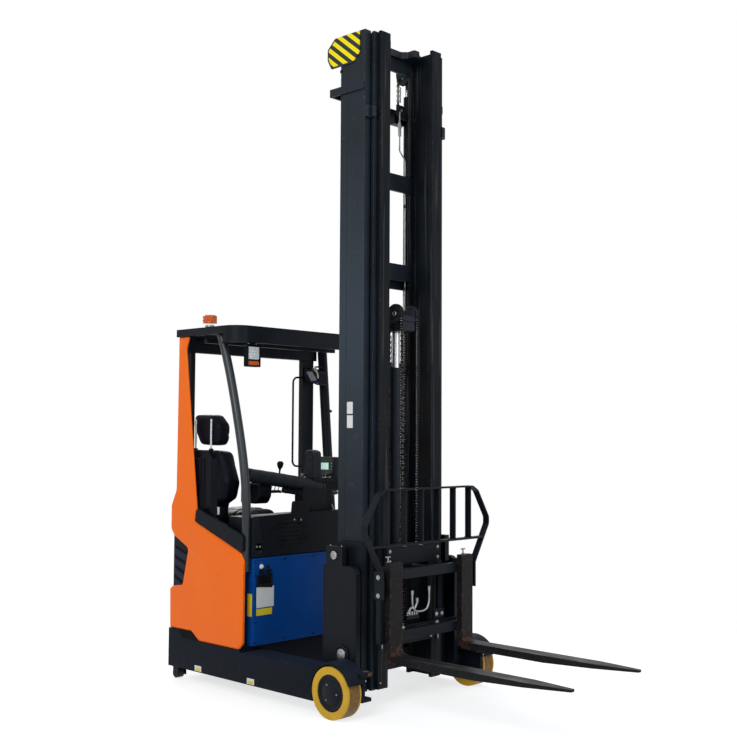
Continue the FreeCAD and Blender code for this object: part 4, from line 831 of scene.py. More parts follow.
@piece("mast_middle", "frame_black", "mast sheave")
def middle_stops(shape):
    """Stops on the middle stage's front flanges."""
    for side in (-1, 1):
        shape.block((-12, 6), (side * 296, side * 325), (3398, 3462), 2.5)
        shape.bolt((6, side * 311, 3430), "X", 5, 4, 1, False)


# --- Forks, carriage and backrest ---
@piece("sideshift", "fork_steel", "steel")
def fork_latches(shape):
    """Silver T-handled pins that lock the forks on their bars."""
    for side in (-1, 1):
        y = side * 331
        shape.rod((145, y, 834), (145, y, 864), 4.5, 12)
        shape.lathe((145, y, 836), "Z", [(10, 0), (10, 5), (7, 7)], 20)
        shape.rod((145, y - 19, 866), (145, y + 19, 866), 4.5, 12, 2)


@piece("tilt_frame", "rod_chrome", "steel frame")
def hose_set(shape):
    """Bent steel pipes, their fittings and the valve block between the fork bars."""
    loop = [(-82, 628), (-82, 590), (-76, 560), (-58, 538), (-20, 528), (30, 532), (56, 552), (66, 590),
            (66, 640)]
    hook = [(-108, 520), (-104, 545), (-86, 556), (-66, 548), (-52, 562), (-40, 582)]
    for route in (loop, hook):
        shape.sweep(spline([(104, y, z) for y, z in route], 6), 6, 12)
        for y, z in (route[0], route[-1]):
            shape.rod((104, y, z), (104, y, z + 26), 9, 6, 1.5)
    shape.block((84, 108), (-128, -22), (490, 512), 3, 1)
    for y in (-116, -96, -76, -56, -36):
        shape.rod((98, y, 512), (98, y, 534), 5.5, 6)
    shape.block((84, 110), (110, 200), (470, 524), 4, 1)
    for y in (130, 178):
        shape.bolt((110, y, 497), "X", 8, 6)
    shape.bolt((96, -150, 444), "X", 10, 7)
    shape.bolt((96, 150, 444), "X", 10, 7)
    shape.block((96, 110), (-60, 60), (436, 452), 2, 1)


@piece("sideshift", "frame_black", "steel frame")
def bar_details(shape):
    """Bolts, rub strips and weld beads on the fork bars and the load guard."""
    for side in (-1, 1):
        for z in (660, 760):
            shape.bolt((145, side * 412, z), (0, side, 0), 9, 7)
            shape.bolt((153, side * 384, z), "X")
    for y in (-362, -217, -72, 72, 217, 362):
        for x in (141, 177):
            shape.lathe((x, y, 936), "Z", [(9, -1), (9, 1), (5, 5), (0, 5)], 12, 1)
            shape.lathe((x, y, 1233), "Z", [(8, 1), (8, -1), (5, -4), (0, -4)], 12, 1)


@piece("fork_carriage", "frame_black", "steel")
def carriage_front(shape):
    """Side rollers with their caps, and bolts on the fork carriage's cross plates."""
    for side in (-1, 1):
        for z in (430, 780):
            shape.lathe((-84, side * 230, z), (0, side, 0), [(0, 0), (30, 0), (30, 4), (20, 5), (0, 5)], 28)
        for z in (820, 880):
            shape.bolt((48, side * 210, z), "X")
        for z in (365, 405):
            shape.bolt((48, side * 150, z), "X")
        shape.lathe((66, side * 232, 400), (0, side, 0), [(13, 0), (13, 2), (10, 4), (0, 4)], 20)
    for y in (-70, 70):
        shape.rod((30, y, 880), (30, y, 925), 8, 12)
        shape.bolt((30, y, 900), "Z", 11, 12)


# --- Wheels, legs and chassis ---
WHEEL_HEIGHT = 142.5


def hub(name, side, bolts, reach=100, dish=12, bolt_circle=50):
    """A stepped hub cover with its bolts, inside a wheel's dish."""
    shape = Shape()
    out = (0, side, 0)
    face = side * (HALF_WIDTH - dish)
    profile = [(0, 0), (reach - 0.5, 0), (reach - 0.5, 7), (reach - 3, 10), (reach - 8, 10.5),
               (reach - 14, 8), (reach - 20, 4), (reach - 27, 3), (reach - 32, 4.5), (reach - 35, 8.5),
               (reach - 39, 11), (0, 11)]
    shape.lathe((0, face, WHEEL_HEIGHT), out, profile, 72)
    for turn in bolts:
        angle = math.radians(turn)
        place = (bolt_circle * math.cos(angle), face + side * 10, WHEEL_HEIGHT + bolt_circle
                 * math.sin(angle))
        shape.bolt(place, out, 4, 4, 1, False)
    shape.done("hub_" + name, "load_wheel_" + name, "frame_black", "frame steel")


def tyre_lips():
    """Rounded shoulders that stand a little proud of the load wheels' sides."""
    for name, side in (("right", -1), ("left", 1)):
        shape = Shape()
        y = side * HALF_WIDTH
        shape.lathe((0, y, WHEEL_HEIGHT), (0, side, 0), [(139.5, -6), (136, -0.6), (131, -0.2), (105, -0.2),
                                                         (102, -2), (101, -8)], 72, ring=True)
        shape.done("tyre_lip_" + name, "load_wheel_" + name, "tread_yellow", "tread")


def leg_details():
    """Rusty rail ends, edge strips and bolts on the legs."""
    for name, side in (("right", -1), ("left", 1)):
        shape = Shape()
        shape.block((140, 150), (side * 462, side * 550), (232, 258), 1.5, 2)
        shape.block((149, 151), (side * 462, side * 494), (236, 254), 0.5)
        shape.block((100, 138), (side * 462, side * 494), (254, 255.5), 0.5, 1)
        shape.bolt((150, side * 515, 214), "X", 5, 5, 1, False)
        shape.done("leg_details_" + name, "chassis", "frame_black", "rust steel chassis")


hub("right", -1, (121, 0, 233))
hub("left", 1, (90, 210, 330))
tyre_lips()
leg_details()


@piece("chassis", "frame_black", "white yellow hole frame")
def base_stickers(shape):
    """Blank stickers, a dark sheet painted as the shade of a recess, and a plug on the base."""
    for x in (-1201, -700):
        shape.block((x, x + 66), (-636, -635), (84, 119), 0.3)
        shape.block((x + 12, x + 56), (-636.5, -635.5), (88, 104), 0.2, 1)
    shape.prism("XZ", [(-1381, 308, 6), (-1331, 265, 8), (-1187, 264, 8), (-1247, 317, 6)], (-635.6, -634.6),
                0.4, 2)
    shape.rod((-1090, -610, 79), (-1090, -610, 74), 12, 12, 1, 3)


# --- Right side panel, louvre and band ---
def fade(value, low, high):
    """0 below low, 1 above high, straight between."""
    return min(max((value - low) / (high - low), 0), 1)


def slope_between(x, start, end):
    """Height at x of the straight line between two (x, z) places."""
    return start[1] + (end[1] - start[1]) * (x - start[0]) / (end[0] - start[0])


def edge_distance(point, outline):
    """Distance from a point to the nearest side of an outline."""
    best = 1e9
    for index, end in enumerate(outline):
        start = outline[index - 1]
        along = end - start
        t = min(max((point - start).dot(along) / max(along.length_squared, 1e-9), 0), 1)
        best = min(best, (point - start - along * t).length)
    return best


def panel_depth(x, z, rim):
    """How far the right panel's skin lies in from its outermost face."""
    top = slope_between(x, (-1476, 1192), (-1229, 1052))
    low = slope_between(x, (-1476, 1094), (-1229, 985))
    depth = 9 * fade(z, low, top)
    crease = slope_between(x, (-1300, 834), (-1130, 748))
    hollow = fade(-z, -crease - 8, -crease + 22) * fade(z, 584, 600) * fade(-x, 1090, 1270)
    depth += 7 * hollow
    depth += 6 * (1 - fade(rim, 0, 10)) + 1.5 * (1 - fade(rim, 0, 22))
    return min(depth, 17)


def inner_ring(outline, by):
    """An outline moved inwards by a distance, corner by corner."""
    area = sum(a.x * b.y - b.x * a.y for a, b in zip(outline, outline[1:] + outline[:1]))
    turn = 1 if area > 0 else -1
    ring = []
    for index, here in enumerate(outline):
        back = (here - outline[index - 1]).normalized()
        on = (outline[(index + 1) % len(outline)] - here).normalized()
        way = Vector((-back.y - on.y, back.x + on.x)) * turn
        ring.append(here + way.normalized() * by)
    return ring


def slice_near(mesh, start, end):
    """Cuts only the faces that a short line passes over."""
    along = end - start
    across = Vector((-along.y, along.x)).normalized()
    low = Vector((min(start.x, end.x) - 20, min(start.y, end.y) - 20))
    high = Vector((max(start.x, end.x) + 20, max(start.y, end.y) + 20))
    faces = []
    for face in mesh.faces:
        middle = face.calc_center_median()
        if low.x <= middle.x <= high.x and low.y <= middle.z <= high.y:
            if abs(across.dot(Vector((middle.x, middle.z)) - start)) < 24:
                faces.append(face)
    geom = list(dict.fromkeys(item for face in faces for item in (face, *face.verts, *face.edges)))
    bmesh.ops.bisect_plane(mesh, geom=geom, plane_co=(start.x, 0, start.y), plane_no=(across.x, 0, across.y))


PANEL_BACK = -612


@piece("chassis", "orange_paint", "orange", replaces="side_panel_right", angle=12)
def side_panel_skin(shape):
    """The right side panel with its facets, hollow, ledge and eased rim."""
    rear = -1478
    outline = rounded_outline([(rear + 6, 319), (-1250, 319, 20), (-1173, 268, 20), (-790, 268, 30),
                               (-755, 303, 30), (-755, 790, 35), (-790, 838, 35), (-1229, 998, 40),
                               (-1218, 1050, 40), (-1255, 1321, 80), (-1355, 2090, 30), (-1325, 2168, 10),
                               (-1433, 2168), (-1439, 1191, 30), (rear + 2, 1090, 30), (rear + 2, 944, 30),
                               (-1443, 895, 30), (-1302, 830, 20), (-1357, 597, 20), (-1447, 582, 20),
                               (rear, 560, 10)], 6)
    outline = [point for index, point in enumerate(outline) if (point - outline[index - 1]).length > 0.5]
    mesh = bmesh.new()
    mesh.faces.new([mesh.verts.new((point.x, 0, point.y)) for point in outline])
    # A grid of cuts fine enough for the facets, then rings along the eased rim.
    cuts = [((x, 0, 0), (1, 0, 0)) for x in range(-1470, -750, 16)]
    cuts += [((0, 0, z), (0, 0, 1)) for z in range(276, 1200, 14)]
    cuts += [((0, 0, z), (0, 0, 1)) for z in range(1210, 2080, 60)]
    for place, way in cuts:
        bmesh.ops.bisect_plane(mesh, geom=mesh.verts[:] + mesh.edges[:] + mesh.faces[:], plane_co=place,
                               plane_no=way)
    for inward in (4, 10, 22):
        ring = inner_ring(outline, inward)
        for index, end in enumerate(ring):
            start = ring[index - 1]
            if (end - start).length > 40:
                slice_near(mesh, start, end)
    bmesh.ops.triangulate(mesh, faces=mesh.faces[:])
    for vert in mesh.verts:
        rim = edge_distance(Vector((vert.co.x, vert.co.z)), outline)
        vert.co.y = panel_depth(vert.co.x, vert.co.z, rim) - HALF_WIDTH
    extruded = bmesh.ops.extrude_face_region(mesh, geom=mesh.faces[:])
    for item in extruded["geom"]:
        if isinstance(item, bmesh.types.BMVert):
            item.co.y = PANEL_BACK
    shape.take(mesh, 0)


@piece("chassis", "black_plastic", "navy hole")
def louvre_slats(shape):
    """Slanted slats in the panel's rear edge, over dark sheets painted as the shade inside the louvre."""
    for index in range(4):
        z = 838 - index * 62
        left = -1440
        right_edge = -1362 + (z - 620) * 0.226
        shape.prism("XZ", [(left, z), (right_edge, z - 38), (right_edge, z - 52), (left, z - 14)],
                    (-624.4, -621), 0.8, 1)
        shape.prism("XZ", [(left, z - 16), (right_edge, z - 54), (right_edge, z - 92), (left, z - 54)],
                    (-625.5, -621), 1.6)


# --- Battery box ---
@piece("chassis", "battery_blue", "blue yellow white screen hole")
def battery_details(shape):
    """Folded lid edge, screws, switches, sockets and blank labels on the battery's front."""
    front = -750
    low, high = box_mm("battery_box")
    shape.block((front - 2, front + 2.4), (-552, 552), (high[2] - 14, high[2]), 1.2)
    shape.block((front - 2, front + 1.6), (-552, -528), (low[2], high[2]), 1.2)
    shape.block((front - 2, front + 1.6), (528, 552), (low[2], high[2]), 1.2)
    for y in (-540, -300, -60, 180, 420, 540):
        for z in (low[2] + 20, high[2] - 22):
            shape.bolt((front + 1, y, z), "X", 5, 3.5, 4, False)
    for z in (420, 560, 700):
        for y in (-540, 540):
            shape.bolt((front + 1, y, z), "X", 5, 3.5, 4, False)
    shape.lathe((front, -490, 750), "X", [(15, 0), (15, 2), (10, 4), (10, 11), (7, 14), (0, 14)], 28, 2)
    shape.lathe((front, -445, 750), "X", [(11, 0), (11, 3), (8, 4), (7, 14), (0, 15)], 24, 3)
    for y in (-489, -433):
        shape.plate("YZ", (y - 20, y + 20), (704, 732), (front, front + 9), (8, 8), 1.5, 4)
        shape.plate("YZ", (y - 11, y + 11), (710, 726), (front + 8, front + 10.5), (3, 3), 0.6, 3)
    shape.prism("YZ", [(-528, 632, 6), (-404, 619, 6), (-404, 700, 6), (-528, 700, 6)], (front, front + 5),
                1.2, 4)
    shape.block((front + 4, front + 6), (-520, -412), (640, 692), 0.8, 3)
    for index in range(5):
        shape.block((front + 5.8, front + 6.6), (-514, -418), (646 + index * 9, 648 + index * 9), 0.2, 4)
    shape.block((front, front + 0.8), (-530, -388), (504, 628), 0.2, 2)
    shape.block((front, front + 0.8), (-530, -402), (458, 498), 0.2, 1)
    shape.block((front - 52, front - 8), (-554.8, -554), (455, 590), 0.2, 1)


# --- Hood ---
def arc_slot(shape, centre, half_width, half_height, start, end, x, paint):
    """A slot bent along an oval on the hood's front."""
    outer, inner = [], []
    for step in range(17):
        angle = math.radians(start + (end - start) * step / 16)
        for edge, margin in ((outer, 3.5), (inner, -3.5)):
            edge.append((x, centre[0] + (half_width + margin) * math.cos(angle),
                         centre[1] + (half_height + margin) * math.sin(angle)))
    shape.grid([outer, inner], paint, wrap=False, caps=False)


@piece("chassis", "black_plastic", "hole steel white dark_plastic cheek red rim")
def hood_details(shape):
    """Oval vent, screws, sockets and side cheek on the hood's front; the vent's slots carry painted shade and
    painted highlights on their rims.
    """
    x = -744.4
    centre = (-247, 943)
    # Each vent slot is a dark sheet painted as the shade inside it; a slightly larger lighter sheet behind
    # shows at its edge as a painted highlight.
    for half_width, half_height in ((146, 92), (124, 76), (102, 60)):
        for start in (-62, 118):
            for first, last in ((start, start + 56), (start + 66, start + 124)):
                arc_slot(shape, centre, half_width + 1.5, half_height - 1.5, first - 1, last + 1, x - 0.2, 6)
                arc_slot(shape, centre, half_width, half_height, first, last, x, 0)
    for row in range(-3, 4):
        z = centre[1] + row * 26
        for column in (-1, 0, 1):
            y = centre[0] + column * 54
            half = 23 if abs(row) < 3 else 20
            for rise, front, paint in ((-1.5, x, 6), (0, x + 0.2, 0)):
                shape.plate("YZ", (y - half, y + half), (z + rise - 4.5, z + rise + 4.5), (x - 0.6, front),
                            (4, 4), 0, paint)
    for y, z in ((-230, 1018), (-174, 1015)):
        shape.lathe((-745, y, z), "X", [(6, 0), (6, 2), (4, 3), (0, 3)], 16, 1)
    for y, z in ((-50, 978), (112, 977), (-540, 1030), (330, 980), (520, 1030), (520, 840)):
        shape.lathe((-745, y, z), "X", [(5, 0), (5, 1.5), (0, 1.5)], 16, 3)
    shape.block((-746, -741), (-546, -500), (850, 892), 2, 3)
    for y in (-535, -512):
        shape.lathe((-741, y, 871), "X", [(7, 0), (7, 2), (4, 2), (4, 0.5), (0, 0.5)], 16, 1)
    shape.lathe((-745, -503, 838), "X", [(5, 0), (5, 2), (0, 2)], 12, 2)
    shape.prism("YZ", [(-569, 812), (-500, 812, 12), (-500, 930, 20), (-528, 1046, 12), (-569, 1046)],
                (-745, -741), 2, 4)
    shape.block((-753, -745), (-238, -228), (1127, 1134), 2, 5)


# --- Padded pieces ---
# The remesh size in metres, the cloth's figures, and the frames and passes it runs for.
VOXEL = 0.0055
PRESSURE, STIFFNESS, BENDING = 4, 90, 30
CLOTH_FRAMES, SMOOTHINGS = 20, 14


def evaluated(ob, name):
    """A new mesh of an object with its modifiers applied."""
    graph = bpy.context.evaluated_depsgraph_get()
    mesh = bpy.data.meshes.new_from_object(ob.evaluated_get(graph), depsgraph=graph)
    mesh.name = name
    return mesh


def puffed(mesh, cap):
    """A closed mesh swollen like a stuffed cover, no point moving further than the cap."""
    ob = placed("puff", mesh)
    voxels = ob.modifiers.new("voxels", "REMESH")
    voxels.mode = "VOXEL"
    voxels.voxel_size = VOXEL
    base = evaluated(ob, "puff_base")
    ob.modifiers.clear()
    ob.data = base
    cloth = ob.modifiers.new("cloth", "CLOTH")
    cloth.settings.use_pressure = True
    cloth.settings.uniform_pressure_force = PRESSURE
    cloth.settings.effector_weights.gravity = 0
    cloth.settings.tension_stiffness = cloth.settings.compression_stiffness = STIFFNESS
    cloth.settings.bending_stiffness = BENDING
    cloth.point_cache.frame_start = 1
    cloth.point_cache.frame_end = CLOTH_FRAMES
    scene = bpy.context.scene
    for frame_number in range(1, CLOTH_FRAMES + 1):
        scene.frame_set(frame_number)
    swollen = evaluated(ob, "puff_swollen")
    for vert, start in zip(swollen.vertices, base.vertices):
        move = vert.co - start.co
        if move.length > cap:
            vert.co = start.co + move * (cap / move.length)
    scene.frame_set(1)
    taut = bmesh.new()
    taut.from_mesh(swollen)
    for _ in range(SMOOTHINGS):
        bmesh.ops.smooth_vert(taut, verts=taut.verts[:], factor=0.5, use_axis_x=True, use_axis_y=True,
                              use_axis_z=True)
    taut.to_mesh(swollen)
    taut.free()
    base = swollen
    bpy.data.objects.remove(ob)
    return base


def padded_piece(name, shape, cap, seams, replaces=None):
    """Puffs a shape into a cushion, presses in its seams, and puts it in its node's place."""
    mesh = puffed(shape.mesh(name, weld=0.00005), cap)
    normals = [vert.normal.copy() for vert in mesh.vertices]
    for vert, normal in zip(mesh.vertices, normals):
        place = Vector(((vert.co.x - AXLE) / MM, vert.co.y / MM, vert.co.z / MM))
        vert.co += normal * (seams(place, normal) * MM)
    mesh.materials.clear()
    mesh.materials.append(MAT["vinyl"])
    mesh.polygons.foreach_set("use_smooth", [True] * len(mesh.polygons))
    ob = placed(name, mesh)
    finer = ob.modifiers.new("finer", "SUBSURF")
    finer.levels = finer.render_levels = 1
    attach(ob, "chassis")
    if replaces:
        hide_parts(replaces)


def seam(distance, depth=5.0, width=7.0):
    """A sewn channel: a soft valley with a narrow stitch line at its bottom."""
    return -depth * math.exp(-(distance / width) ** 2) - 1.2 * math.exp(-(distance / 1.8) ** 2)


def piping(distance, height=3.0, width=3.4):
    """A sewn cord that stands out along an edge."""
    return height * math.exp(-(distance / width) ** 2)


HEADREST_POSTS = (-1310, -1153)


def seat_cushion():
    """Cushion with two bolsters and sewn channels between them."""
    shape = Shape()
    shape.block((-1384, -1042), (-414, -112), (912, 1062), 34, steps=4)

    def seams(p, n):
        depth = piping(p.z - 1022) - 2.2 * math.exp(-((p.z - 1013) / 3) ** 2)
        if n.z > 0.3:
            for x in (-1318, -1108):
                depth += seam(p.x - x, 7, 12)
            if -1318 < p.x < -1108:
                for y in (-160, -232, -304, -366):
                    depth += seam(p.y - y, 2.5, 7)
        return depth
    padded_piece("seat_cushion_pad", shape, 0.011, seams, "seat_cushion")


seat_cushion()


def seat_back():
    """Padded front with its bolsters."""
    shape = Shape()
    outline = [(-1386, 908, 20), (-1110, 908, 20), (-1104, 1092, 50), (-1024, 1142, 45), (-996, 1250, 60),
               (-1074, 1440, 45), (-1360, 1444, 40), (-1386, 1400, 30)]
    shape.prism("XZ", outline, (-556, -440), 22, 0, 6)

    def seams(p, n):
        depth = piping(p.y + 540, 2.6, 3)
        bolster_line = -1062 - 88 * fade(p.z, 1140, 1420)
        if n.y > 0.2:
            depth += seam(p.x - bolster_line, 8, 10) + seam(p.x + 1322, 8, 10)
            if -1322 < p.x < bolster_line:
                for z in (1010, 1110, 1210, 1310):
                    depth += seam(p.z - z, 2.5, 8)
        if n.x > 0.3:
            depth += piping(p.y + 500, 2.6, 3)
        return depth
    padded_piece("seat_back_pad", shape, 0.011, seams)


seat_back()


@piece("chassis", "seat_vinyl", "dark_plastic hole", replaces="seat_back")
def seat_back_shell(shape):
    """The ridged shell behind the seat back, with the headrest's sockets."""
    plan = [(-1392, -562), (-1392, -590, 18), (-1372, -598, 10), (-1300, -598), (-1296, -592), (-1288, -592),
            (-1284, -598), (-1222, -598), (-1216, -588), (-1206, -588), (-1202, -597), (-1192, -597),
            (-1186, -588), (-1120, -590, 20), (-1090, -562)]
    shape.prism("XY", list(reversed(plan)), (905, 1395), 4, 0, 3)
    shape.prism("XZ", [(-1388, 1390), (-1112, 1390), (-1160, 1444, 20), (-1380, 1450, 20)], (-588, -560), 5)
    for x in HEADREST_POSTS:
        shape.lathe((x, -569, 1436), "Z", [(15, 0), (15, 14), (11, 20)], 20)
    # A dark slot and four dark discs painted as the shade inside a slot and screw holes.
    shape.block((-1200, -1140), (-600.5, -596), (1080, 1086), 0.6, 1)
    for x, z in ((-1240, 1372), (-1330, 1372), (-1240, 960), (-1330, 960)):
        shape.lathe((x, -597, z), "-Y", [(5, 0), (5, 2), (0, 2)], 12, 1)


@piece("chassis", "seat_vinyl", "white dark_plastic")
def seat_tag(shape):
    """Blank tag on the seat back's edge and the hinge cover behind it."""
    shape.block((-1098, -1072), (-562, -560), (1046, 1094), 0.4)
    shape.prism("XZ", [(-1112, 1020, 8), (-1060, 1020, 8), (-1064, 1096, 8), (-1104, 1100, 8)], (-560, -530),
                4, 1)


def headrest():
    """Padded headrest with a channel across its face."""
    shape = Shape()
    outline = [(-1362, 1672, 60), (-1368, 1590, 30), (-1296, 1478, 40), (-1124, 1474, 30), (-1098, 1512, 25),
               (-1094, 1604, 30), (-1166, 1668, 60)]
    shape.prism("XZ", outline, (-556, -450), 22, 0, 6)

    def seams(p, n):
        depth = piping(p.y + 470, 2.4, 3) + piping(p.y + 538, 2.4, 3)
        if n.y > 0.3:
            depth += seam(p.z - 1540, 4, 9)
        return depth
    padded_piece("headrest_pad", shape, 0.009, seams, "headrest")


headrest()


@piece("chassis", "rod_chrome", "chrome")
def headrest_posts(shape):
    """The two bars that carry the headrest."""
    for x in HEADREST_POSTS:
        shape.rod((x, -569, 1440), (x, -569, 1640), 6.8, 16)


def dash_bar():
    """Thick padded bar with a soft belly, a rolled lip along its top and a rim at its end."""
    start, end = Vector((-850, -541, 1301.5)), Vector((-850, 93, 1207.5))
    way = (end - start).normalized()
    side = Vector((1, 0, 0))
    up_way = way.cross(side) if way.cross(side).z > 0 else side.cross(way)
    length = (end - start).length
    shape = Shape()
    rows = []
    for step in range(61):
        t = step / 60
        swell = 41.5 + 1.8 * math.sin(math.pi * t) + 0.5 * math.sin(t * 43)
        cap = min(t, 1 - t) * length
        if cap < 14:
            swell -= 14 - math.sqrt(max(14 ** 2 - (14 - cap) ** 2, 0))
        if abs(t - 0.975) < 0.006:
            swell -= 3
        rows.append([start + way * length * t + (side * math.cos(a) + up_way * math.sin(a)) * swell
                     for a in (2 * math.pi * k / 40 for k in range(40))])
    shape.grid(rows)
    pad = shape.done("dash_bar_pad", "chassis", "seat_vinyl", "soft_black", "dash_bar", 50)
    trim = Shape()
    near, far = (start + way * along - side * 18 + up_way * 31 for along in (4, 470))
    trim.sweep([near + (far - near) * (k / 10) for k in range(11)], 8.5, 14)
    # The end ring is in the lighter rim material, a painted highlight on the bar's end.
    trim.lathe(end - way * 3, way, [(42, 0), (44, 2), (44, 5), (41, 8), (34, 9), (31, 6), (0, 6)], 36, 3)
    trim.block((-868, -832), (-236, -116), (1172, 1204), 6, 1, ("X", -8.4))
    # Two small dark blocks painted as the shade inside openings.
    trim.block((-836, -826), (-210, -196), (1196, 1216), 1, 2)
    trim.block((-836, -826), (-150, -136), (1186, 1208), 1, 2)
    trim.done("dash_bar_trim", "chassis", "black_plastic", "soft_black dark_plastic hole rim")


dash_bar()

# --- Controls, screens and lamps ---
@piece("chassis", "black_plastic", "dark_plastic soft_black", replaces="arm_console")
def arm_console_box(shape):
    """Armrest box with its lid."""
    shape.prism("XZ", [(-1060, 1114, 12), (-900, 1114, 45), (-870, 1160, 30), (-870, 1240, 12),
                       (-1060, 1240, 12)], (-405, -307), 7, 0, 6)
    shape.plate("XZ", (-1056, -874), (1226, 1240), (-402, -310), (0, 8), 4, 1)


@piece("chassis", "black_plastic", "steel dark_plastic red soft_black")
def control_levers(shape):
    """Small levers on their plate, and the joystick beside them."""
    for index, (x, y, tone) in enumerate(((-900, -330, 0), (-890, -300, 2), (-884, -276, 0),
                                          (-878, -252, 1))):
        base = Vector((x, y, 1196))
        tip = base + Vector((6, 6, 34 - index * 4))
        shape.rod(base, tip, 3, 10, 0.6)
        shape.lathe(tip, tip - base, [(3, -2), (7, 1), (8, 6), (6, 11), (0, 12)], 14, tone)
    shape.block((-930, -860), (-345, -238), (1180, 1197), 3, 1)
    shape.sweep(spline([(-905, -245, 1192), (-880, -235, 1180), (-860, -222, 1184), (-850, -210, 1176)], 5),
                3, 8, 1)
    stick = [(0, 0), (5.5, 0), (5.5, 30), (9, 40), (17, 52), (21, 68), (20, 80), (12, 88), (0, 89)]
    shape.lathe((-899, -221, 1289), (0.1, 0.0, 1), stick, 24, 1)
    shape.lathe((-899, -221, 1276), "Z", [(22, 0), (20, 8), (14, 14), (10, 16), (0, 17)], 24, 3)


@piece("chassis", "black_plastic", "soft_black dark_plastic cheek steel red grey", replaces="instrument_pod")
def keypad_pod(shape):
    """Rounded keypad pod with rows of keys and lighter ridges on its sides."""
    outline = [(-961, 1262), (-843, 1262), (-843, 1436, 30), (-905, 1450, 24), (-938, 1400, 24)]
    shape.prism("XZ", outline, (21, 94), 5, 0, 6)
    for row in range(7):
        z = 1290 + row * 17
        for column in range(3):
            x = -928 + column * 22 + row * 2
            if x > -858:
                continue
            shape.block((x, x + 15), (19, 22), (z, z + 11), 1.5, 1)
            shape.block((x + 5, x + 10), (18.4, 19.6), (z + 4, z + 7), 0.3, 5)
    ridge = [(-852, 18, 1270), (-852, 18, 1400), (-862, 18, 1432), (-900, 18, 1442)]
    shape.sweep(spline(ridge, 6), 3, 8, 2)
    ridge = [(-950, 19, 1270), (-938, 19, 1360), (-926, 19, 1410), (-908, 19, 1438)]
    shape.sweep(spline(ridge, 6), 2.4, 8, 2)
    shape.lathe((-940, 16, 1284), "-Y", [(11, -4), (11, 3), (8, 4), (0, 4)], 20, 3)
    shape.block((-943, -937), (2, 12), (1274, 1296), 1, 3)
    shape.rod((-920, 12, 1274), (-898, 4, 1266), 4, 10, 1, 3)
    shape.lathe((-962, 60, 1275), "Z", [(14, 0), (14, 6), (10, 9), (0, 9)], 20, 4)


@piece("chassis", "black_plastic", "soft_black screen green lcd steel grey red amber", replaces="display")
def display_unit(shape):
    """Display with a lit blank screen and a row of lamps."""
    shape.plate("XZ", (-988, -812), (1262, 1400), (199, 234), (0, 14), 4)
    shape.plate("XZ", (-976, -836), (1282, 1388), (195.6, 200), (0, 10), 1.5, 1)
    shape.block((-958, -882), (194.6, 197), (1314, 1362), 1, 2)
    shape.block((-954, -886), (193.8, 195), (1318, 1358), 0.5, 3)
    for z in (1320, 1338, 1356):
        shape.lathe((-858, 196, z), "-Y", [(5, 0), (5, 1.5), (0, 1.5)], 14, 5)
    for x in range(-952, -880, 16):
        shape.lathe((x, 196, 1298), "-Y", [(4, 0), (4, 1.2), (0, 1.2)], 12, 5)
    shape.lathe((-1000, 185, 1258), "Z", [(17, -12), (17, 4), (14, 10), (0, 12)], 24, 6)
    shape.lathe((-964, 160, 1262), "Z", [(12, 0), (12, 9), (8, 12), (0, 12)], 20, 7)
    shape.block((-940, -850), (140, 185), (1262, 1268), 2, 4)
    for x in (-925, -900, -875):
        shape.rod((x, 162, 1268), (x + 5, 155, 1284), 3.5, 10, 0.6, 4)


@piece("chassis", "black_plastic", "dark_plastic panel_light blue_lamp steel", replaces="monitor")
def camera_monitor(shape):
    """Camera monitor in a cranked bracket, its screen tilted towards the driver."""
    shape.prism("XZ", [(-1400, 1936), (-1262, 1892, 10), (-1250, 1904, 10), (-1268, 1985, 10),
                       (-1384, 2024, 14), (-1402, 2000, 10)], (444, 536), 5, 0, 4)
    shape.prism("XZ", [(-1372, 1990, 4), (-1312, 1992, 4), (-1262, 1928, 4), (-1318, 1922, 4)], (441.5, 446),
                1, 1)
    shape.block((-1266, -1250), (441, 446), (1905, 1908), 1, 2)
    shape.block((-1330, -1290), (480, 520), (2020, 2030), 3)
    shape.prism("XZ", [(-1300, 2024), (-1286, 2024), (-1252, 1960), (-1252, 1940), (-1262, 1940)],
                (446, 452), 1, 3)


@piece("chassis", "beacon_orange", "steel frame lens lamp_core", replaces="beacon")
def beacon_lamp(shape):
    """Ribbed amber lens on a silver base."""
    centre = (-1298, -480, 2193)
    shape.lathe(centre, "Z", [(0, 0), (36, 0), (36, 22), (20, 24), (20, 40), (0, 40)], 32, 1)
    shape.lathe((-1298, -480, 2222), "Z", [(0, 0), (47, 0), (47.6, 3), (47, 10), (40, 15), (30, 16),
                                           (30, 26)], 48)
    profile = [(30, 36), (44, 38), (45.5, 42)]
    for rib in range(8):
        z = 44 + rib * 5.4
        profile += [(45.6, z), (44.2, z + 2.6)]
    profile += [(44, 88), (40, 91), (0, 91.6)]
    shape.lathe((-1298, -480, 2221), "Z", profile, 48, 2)
    shape.lathe((-1298, -480, 2262), "Z", [(0, 0), (16, 0), (16, 34), (0, 36)], 20, 3)
    for turn in range(16):
        angle = math.pi * turn / 8
        x, y = -1298 + 44.4 * math.cos(angle), -480 + 44.4 * math.sin(angle)
        shape.rod((x, y, 2262), (x, y, 2306), 1.6, 6, 0.3, 2)


